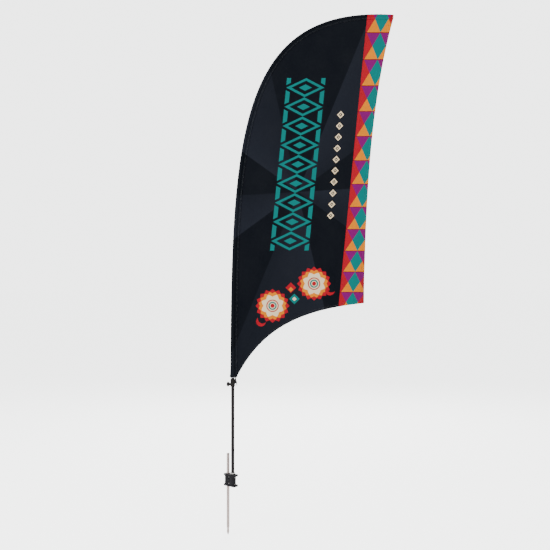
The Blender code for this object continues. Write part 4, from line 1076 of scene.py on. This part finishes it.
@dataclass
class Sleeve:
    """The pole sleeve, its peak pocket, its mouth binding and their seams."""

    plan: SailPlan
    flange: float = 0.0115
    flange_gap: float = 0.0016
    wall: float = 0.0005
    mouth_slack: float = 0.0022
    mouth_reach: float = 0.020
    seam_inset: float = 0.0085
    seam_gap: float = 0.0040
    seam_lift: float = 0.00035
    seam_points: int = 1020
    tape_fold: float = 0.0011
    tape_wave: float = 0.00012
    peak_reach: float = 0.7275
    peak_corner: float = 0.0040
    peak_press: float = 0.0085
    peak_slant: float = 0.030
    peak_points: int = 300
    peak_rings: tuple[float, ...] = (0.0085, 0.0060, 0.0042, 0.0028, 0.0016, 0.0008, 0.0003, 0.0)

    def build(self) -> None:
        stuff = Artwork().make("printed_sleeve_knit", TAPE_MAP)
        sleeve = self.tube(stuff)
        seams = self.seams()
        pocket = self.pocket(stuff)
        binding = self.binding()

    def frames(self, count: int) -> tuple[Points, Points, Points, Points]:
        """Return even points of the axis, with their directions, inward directions and radii."""
        table = np.column_stack([self.plan.axis, self.plan.radii])
        table = even(table, count)
        along = unit(np.gradient(table[:, :2], axis=0))
        return table[:, :2], along, right_of(along), table[:, 2]

    def section(self, radius: float) -> list[tuple[float, float]]:
        """Return the sleeve's cross-section as (inward, sideways) pairs, from flange to flange."""
        gap = self.flange_gap
        side = []
        for degrees in range(180, 20, -16):
            angle = math.radians(degrees)
            side.append((radius * math.cos(angle), radius * math.sin(angle)))
        meet = radius + self.flange * 0.20
        side.append((radius * 0.995, gap + radius * 0.10))
        side.append((meet, gap))
        side.append((radius + self.seam_inset, gap * 0.92))
        side.append((radius + self.flange, gap))
        other = [(n, -s) for n, s in side[1:]]
        return [*reversed(other), *side]

    @staticmethod
    def pucker(reach: float | Points) -> float | Points:
        """Return how far the cloth swells at a distance along the sleeve."""
        return 0.00030 * np.sin(reach * 2 * math.pi / 0.021) + 0.00022 * np.sin(reach * 431.0)

    def tube(self, material: bpy.types.Material) -> bpy.types.Object:
        """Loft the sleeve along the pole, with small puckers at the seam and a slack mouth."""
        count = 340
        axis, _, inward, radii = self.frames(count)
        columns = len(self.section(1.0))
        points = np.zeros((count, columns, 3))
        places = np.zeros((count, columns, 2))
        reach = distances(axis)
        for i in range(count):
            slack = self.mouth_slack * math.exp(-reach[i] / self.mouth_reach)
            pucker = float(self.pucker(reach[i]))
            girth = 0.0
            last = None
            for k, (n, s) in enumerate(self.section(radii[i])):
                round_side = n < radii[i] * 0.9
                grow = 1.0 + (pucker + slack * 0.5) / radii[i] if round_side else 1.0
                n_out = n * grow - (slack if n < 0 else 0.0)
                s_out = s * grow + (math.copysign(pucker * 0.5, s) if not round_side else 0.0)
                if last is not None:
                    girth += math.dist(last, (n, s))
                last = (n, s)
                x, z = axis[i] + inward[i] * n_out
                points[i, k] = (x, self.plan.middle_y + s_out, z)
                places[i, k] = (reach[i], girth)
        points = points.reshape(-1, 3)
        made = new_piece("pole_sleeve_cloth", points, grid_faces(count, columns), material)
        lay_map(made, TAPE_MAP, places.reshape(-1, 2))
        self.plan.lay_print(made, points[:, (0, 2)])
        thicken(made, self.wall, -1.0)
        sew_on(made, "pole_sleeve")
        return made

    def seams(self) -> list[bpy.types.Object]:
        """Sew the sleeve to the panels, two rows on each face."""
        thread = Thread("sleeve_thread", (0.030, 0.031, 0.034)).make()
        axis, _, inward, radii = self.frames(self.seam_points)
        reach = distances(axis)
        rows = []
        for number, inset in enumerate((self.seam_inset, self.seam_inset - self.seam_gap)):
            flat = axis + inward * (radii + inset)[:, None]
            for face, side in (("front", -1.0), ("back", 1.0)):
                height = self.flange_gap + self.seam_lift + np.maximum(0.0, self.pucker(reach)) * 0.5
                level = self.plan.middle_y + side * height
                line = np.column_stack([flat[:, 0], level, flat[:, 1]])
                name = f"sleeve_stitches_{face}_{number + 1}"
                row = stitch_row(name, line, np.array([0.0, side, 0.0]), thread)
                sew_on(row)
                rows.append(row)
        LOG.info("%d sleeve seams are sewn", len(rows))
        return rows

    def pocket(self, material: bpy.types.Material) -> bpy.types.Object:
        """Make the reinforced pocket that caps the sleeve over the pole's tip, pressed flat at its end."""
        low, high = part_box("peak_pocket")
        axis, along, inward, _ = self.frames(400)
        radius = (high.y - low.y) / 2
        keep = axis[:, 0] > low.x
        line = axis[keep]
        direction = along[keep][-1]
        tip = line[-1] + direction * (self.plan.pole_x + self.peak_reach - line[-1, 0]) / direction[0]
        whole = np.vstack([line, tip])
        length = run_length(whole)
        spine = even(whole, self.peak_points)
        normals = even(np.vstack([inward[keep], inward[keep][-1]]), self.peak_points)
        edge = self.plan.fly[-1] - self.plan.fly[-2]
        left = np.concatenate([np.linspace(length, 0.012, 20), self.peak_rings])
        steps = 28
        points = []
        places = []
        for i, rest in enumerate(left):
            at = int(round((1.0 - rest / length) * (self.peak_points - 1)))
            side = normals[at] / np.linalg.norm(normals[at])
            run = edge[0] * direction[1] - edge[1] * direction[0]
            slant = (edge[1] * side[0] - edge[0] * side[1]) / run * max(0.0, 1.0 - rest / self.peak_slant)
            corner = min(1.0, rest / self.peak_corner)
            tall = radius - self.peak_corner * (1.0 - math.sqrt(1.0 - (1.0 - corner) ** 2))
            tall *= 1.0 + 0.014 * math.sin(i * 1.9)
            press = min(1.0, rest / self.peak_press)
            thick = self.flange_gap + (radius - self.flange_gap) * press * press * (3.0 - 2.0 * press)
            for k in range(steps):
                angle = 2 * math.pi * k / steps
                n = tall * math.cos(angle)
                x, z = spine[at] + side * n + direction * (slant * n)
                points.append((x, self.plan.middle_y + thick * math.sin(angle), z))
                places.append((length - rest, angle * radius))
        points = np.array(points)
        made = new_piece("peak_pocket_cloth", points, grid_faces(len(left), steps, closed=True), material)
        lay_map(made, TAPE_MAP, np.array(places))
        self.plan.lay_print(made, points[:, (0, 2)])
        bm = bmesh.new()
        bm.from_mesh(made.data)
        last = (len(left) - 1) * steps
        rim = [e for e in bm.edges if e.is_boundary and min(v.index for v in e.verts) >= last]
        bmesh.ops.contextual_create(bm, geom=rim)
        bmesh.ops.recalc_face_normals(bm, faces=bm.faces)
        bm.to_mesh(made.data)
        bm.free()
        thicken(made, self.wall, -1.0)
        sew_on(made, "peak_pocket")
        return made

    def binding(self) -> bpy.types.Object:
        """Make the folded tape that binds the sleeve's mouth."""
        low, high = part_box("sleeve_mouth_binding")
        half = (high.y - low.y) / 2
        middle = (high.z + low.z) / 2
        tall = (high.z - low.z) / 2
        steps = 56
        ring = []
        for i in range(steps):
            turn = 2 * math.pi * i / steps
            centre = high.x - half if math.cos(turn) > 0 else low.x + half
            ring.append((centre, turn))
        section = [(0.0, 0.25), (-0.10, 0.85), (-0.45, 1.0), (-0.85, 0.80), (-1.0, 0.0), (-0.85, -0.80),
                   (-0.45, -1.0), (-0.10, -0.85), (0.0, -0.25)]
        points = []
        places = []
        for i, (centre, turn) in enumerate(ring):
            for k, (inward, up) in enumerate(section):
                radius = half + inward * self.tape_fold + self.tape_wave * math.sin(i * 2.1)
                x = centre + radius * math.cos(turn)
                points.append((x, self.plan.middle_y + radius * math.sin(turn), middle + up * tall))
                places.append((i * 0.0016, k * 0.0009))
        faces = grid_faces(steps, len(section), closed=True, looped=True)
        tape = PlainCloth("grey_binding", (0.30, 0.30, 0.32), Weave.TAPE, 0.0006).make()
        made = new_piece("mouth_binding_tape", np.array(points), faces, tape)
        lay_map(made, TAPE_MAP, np.array(places))
        sew_on(made, "sleeve_mouth_binding")
        return made


@dataclass
class TailLoop:
    """The woven elastic loop that hooks the flag's tail under the collar's horn."""

    round_steps: int = 10
    leg_steps: int = 8
    thickness: float = 0.0011
    bight_share: float = 0.35
    shoulder_share: float = 0.80

    def build(self) -> None:
        """Build the loop and bend it between the flag and the collar."""
        low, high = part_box("elastic_tail_loop")
        middle = (low + high) / 2
        thick = self.thickness
        half_width = (high.x - low.x) / 2
        half = (high.y - low.y) / 2 - thick / 2
        bottom = low.z + thick / 2
        top = high.z - thick / 2
        bight = half * self.bight_share
        path = []
        for i in range(self.round_steps + 1):
            angle = math.pi + math.pi * i / self.round_steps
            path.append((half * math.cos(angle), bottom + bight + bight * math.sin(angle)))
        shoulder = bottom + (top - bottom) * self.shoulder_share
        for i in range(1, self.leg_steps + 1):
            path.append((half, bottom + bight + (shoulder - bottom - bight) * i / self.leg_steps))
        path.append((half * 0.72, shoulder + (top - shoulder) * 0.6))
        path.append((half * 0.28, top - 0.0002))
        path.extend([(-y, z) for y, z in reversed(path[self.round_steps + 1:])])
        line = np.array(path)
        count = len(line)
        out = right_of(unit(np.roll(line, -1, axis=0) - np.roll(line, 1, axis=0)))
        section = [(-1.0, -0.6), (-0.86, -1.0), (0.86, -1.0), (1.0, -0.6),
                   (1.0, 0.6), (0.86, 1.0), (-0.86, 1.0), (-1.0, 0.6)]
        points = []
        places = []
        reach = 0.0
        for i in range(count):
            reach += float(np.linalg.norm(line[i] - line[i - 1])) if i else 0.0
            for across, depth in section:
                y, z = line[i] + out[i] * depth * thick / 2
                points.append((middle.x + across * half_width * 0.97, middle.y + y, z))
                places.append((reach, across * half_width + depth * thick))
        quads = grid_faces(count, len(section), closed=True, looped=True)
        faces = [(a, d, c, b) for a, b, c, d in quads]
        web = PlainCloth("black_elastic_web", (0.016, 0.016, 0.018), Weave.ELASTIC, 0.0008).make()
        made = new_piece("elastic_loop_webbing", np.array(points), faces, web)
        lay_map(made, TAPE_MAP, np.array(places))
        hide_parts("elastic_tail_loop")
        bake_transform(made)
        LOG.info("loop is %.3f m round", run_length(np.vstack([line, line[:1]])))
        LOG.info("elastic_loop_webbing replaces elastic_tail_loop")


# --- hard parts ---

@dataclass
class Hardware:
    """Finishes and softened edges of the stake, bracket, spindle, pole and collar."""

    def build(self) -> None:
        """Dress every packed hard part."""
        self.stake()
        self.bracket()
        self.spindle()
        self.pole()
        self.collar()

    def stake(self) -> None:
        """Bright plated bar with drawn lines."""
        steel = BareMetal("zinc_bar", (0.70, 0.575, 0.540), 0.28, (1.0, 1.0, 0.04), 420.0)
        dress(steel.make(), "ground_stake")

    def bracket(self) -> None:
        """Black nylon clamp halves with rounded edges, and their fasteners."""
        nylon = MouldedNylon("bracket_nylon", (0.0065, 0.0058, 0.0085))
        dress(nylon.make(), "bracket_front_half", "bracket_rear_half")
        for name in ("bracket_front_half", "bracket_rear_half"):
            soften(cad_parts[name], 0.0007)
        dull = BareMetal("dull_zinc_fasteners", (0.30, 0.29, 0.29), 0.42, line_scale=900.0, staining=0.35)
        dress(dull.make(), "assembly_screw_upper", "assembly_screw_lower", "assembly_nut_upper",
              "assembly_nut_lower", "stake_clamp_nut", "bush_lock_screw_upper", "bush_lock_screw_lower")
        oxide = BareMetal("black_oxide", (0.06, 0.06, 0.065), 0.36, line_scale=700.0,
                          stain=(0.12, 0.11, 0.10))
        dress(oxide.make(), "stake_clamp_screw")

    def spindle(self) -> None:
        """Turned spindle, its washer, clip and bushes."""
        turned = BareMetal("turned_spindle", (0.70, 0.67, 0.66), 0.24, (1.0, 1.0, 14.0), 160.0,
                           staining=0.12)
        dress(turned.make(), "spindle")
        bush = MouldedNylon("graphite_nylon", (0.020, 0.019, 0.021), 0.40, shine=0.3)
        dress(bush.make(), "upper_spindle_bush", "lower_spindle_bush")
        washer = MouldedNylon("dark_acetal", (0.030, 0.028, 0.030), 0.34, shine=0.35)
        dress(washer.make(), "thrust_washer")
        spring = BareMetal("spring_steel_clip", (0.12, 0.12, 0.13), 0.34, line_scale=700.0)
        dress(spring.make(), "retaining_clip")

    def pole(self) -> None:
        """Painted lower tube, glass-fibre upper sections, ferrules and tip cap."""
        dress(PolePaint("black_tube_paint", (0.0075, 0.0055, 0.0050)).make(), "lower_pole_tube")
        fibre = PolePaint("pultruded_fibreglass", (0.0085, 0.0080, 0.0080), 0.42)
        dress(fibre.make(), "middle_pole_tube", "upper_pole_rod")
        ferrule = BareMetal("plain_aluminium", (0.72, 0.72, 0.73), 0.30, (1.0, 1.0, 8.0), 200.0,
                            staining=0.1)
        dress(ferrule.make(), "lower_joint_ferrule", "upper_joint_ferrule")
        dress(MouldedNylon("tip_vinyl_skin", (0.012, 0.012, 0.013), 0.55).make(), "pole_tip_cap")

    def collar(self) -> None:
        """Collar with its insert, thumb screw and knob."""
        dress(MouldedNylon("collar_nylon_skin", (0.0075, 0.0062, 0.0055), 0.44).make(), "tension_collar")
        soften(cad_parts["tension_collar"], 0.0006)
        dress(MouldedNylon("knob_nylon_skin", (0.0085, 0.0070, 0.0062), 0.38).make(), "thumb_screw_knob")
        brass = BareMetal("insert_brass_skin", (0.62, 0.46, 0.20), 0.30, line_scale=800.0,
                          stain=(0.30, 0.22, 0.12))
        dress(brass.make(), "collar_insert_nut")
        shank = BareMetal("thumb_shank_steel", (0.58, 0.58, 0.60), 0.28, line_scale=800.0)
        dress(shank.make(), "thumb_screw_shank")


# --- studio ---

@dataclass
class Studio:
    """Pale floor, soft light and a level camera in front of the flag."""

    lens: float = 52.0
    camera_height: float = 0.9545
    camera_across: float = 0.191
    view_height: float = 2.486
    floor_gap: float = 0.004
    pale: Colour = (0.890, 0.900, 0.895)
    backdrop: float = 4.2
    floor_light: float = 0.45
    bright_side: tuple[float, float] = (-0.80, -0.60)
    brightest: float = 1.25
    dimmest: float = 0.22

    def build(self) -> None:
        """Build the floor, the lights and the camera."""
        self.floor()
        self.world()
        self.light("key_light", (-2.6, -3.2, 3.4), 2.4, 200.0)
        self.light("fill_light", (2.2, -3.4, 2.2), 2.6, 60.0)
        self.light("back_light", (0.6, 3.4, 3.0), 2.6, 220.0)
        self.camera()

    def floor(self) -> None:
        """Lay a wide pale floor just below the stake's point."""
        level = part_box("ground_stake")[0].z - self.floor_gap
        steps = 48
        rings = (0.0, 0.6, 1.5, 4.0, 12.0, 60.0)
        points = [(0.0, 0.0, level)]
        for radius in rings[1:]:
            for k in range(steps):
                turn = 2 * math.pi * k / steps
                points.append((radius * math.cos(turn), radius * math.sin(turn), level))
        faces = [(0, 1 + k, 1 + (k + 1) % steps) for k in range(steps)]
        for ring in range(len(rings) - 2):
            for k in range(steps):
                a = 1 + ring * steps + k
                b = 1 + ring * steps + (k + 1) % steps
                faces.append((a, a + steps, b + steps, b))
        floor = new_piece("studio_floor", np.array(points), faces)
        recipe = Recipe("pale_floor").set(Roughness=0.9, Specular_IOR_Level=0.1, Base_Color=self.pale)
        recipe.set(Emission_Color=self.pale)
        seen = Field(recipe.tree, recipe.new("ShaderNodeLightPath").outputs["Is Camera Ray"])
        glow = seen * (self.backdrop - self.floor_light)
        recipe.link(glow.socket, recipe.shader.inputs["Emission Strength"])
        floor.data.materials.append(recipe.material)

    def world(self) -> None:
        """Fill the studio with light that is brighter on one side than the other, and show the camera a
        bright backdrop.
        """
        world = bpy.data.worlds.new("studio_light")
        bpy.context.scene.world = world
        world.use_nodes = True
        tree = world.node_tree
        shade = tree.nodes["Background"]
        shade.inputs["Color"].default_value = (*self.pale, 1.0)
        split = tree.nodes.new("ShaderNodeSeparateXYZ")
        tree.links.new(tree.nodes.new("ShaderNodeTexCoord").outputs["Generated"], split.inputs[0])
        east = Field(tree, split.outputs[0])
        north = Field(tree, split.outputs[1])
        side = east * self.bright_side[0] + north * self.bright_side[1]
        room = side * (self.brightest - self.dimmest) + self.dimmest
        room = room.maths("MAXIMUM", self.dimmest)
        seen = Field(tree, tree.nodes.new("ShaderNodeLightPath").outputs["Is Camera Ray"])
        strength = seen * self.backdrop + (seen * -1.0 + 1.0) * room
        tree.links.new(strength.socket, shade.inputs["Strength"])

    def light(self, name: str, place: Colour, size: float, power: float) -> None:
        """Hang a soft box that faces the middle of the flag."""
        lamp = bpy.data.lights.new(name, "AREA")
        lamp.shape = "SQUARE"
        lamp.size = size
        lamp.energy = power
        hung = bpy.data.objects.new(name, lamp)
        hung.location = place
        aim = Vector((0.3, 0.0, 1.0)) - hung.location
        hung.rotation_euler = aim.to_track_quat("-Z", "Y").to_euler()
        bpy.context.scene.collection.objects.link(hung)

    def camera(self) -> None:
        """Set a level camera that looks along +Y."""
        data = bpy.data.cameras.new("front_camera")
        data.lens = self.lens
        data.sensor_width = 36.0
        axis = centre_of("spindle")
        away = self.lens / data.sensor_width * self.view_height
        camera = bpy.data.objects.new("front_camera", data)
        camera.location = (axis.x + self.camera_across, axis.y - away, self.camera_height)
        camera.rotation_euler = (math.radians(90), 0.0, 0.0)
        bpy.context.scene.collection.objects.link(camera)
        bpy.context.scene.camera = camera


def main() -> None:
    """Build every sub-assembly in order."""
    Studio().build()
    plan = SailPlan()
    cloth = Sailcloth(plan)
    Sleeve(plan).build()
    FlagCloth(plan, cloth).build()
    TailLoop().build()
    Hardware().build()


if __name__ == "__main__":
    main()
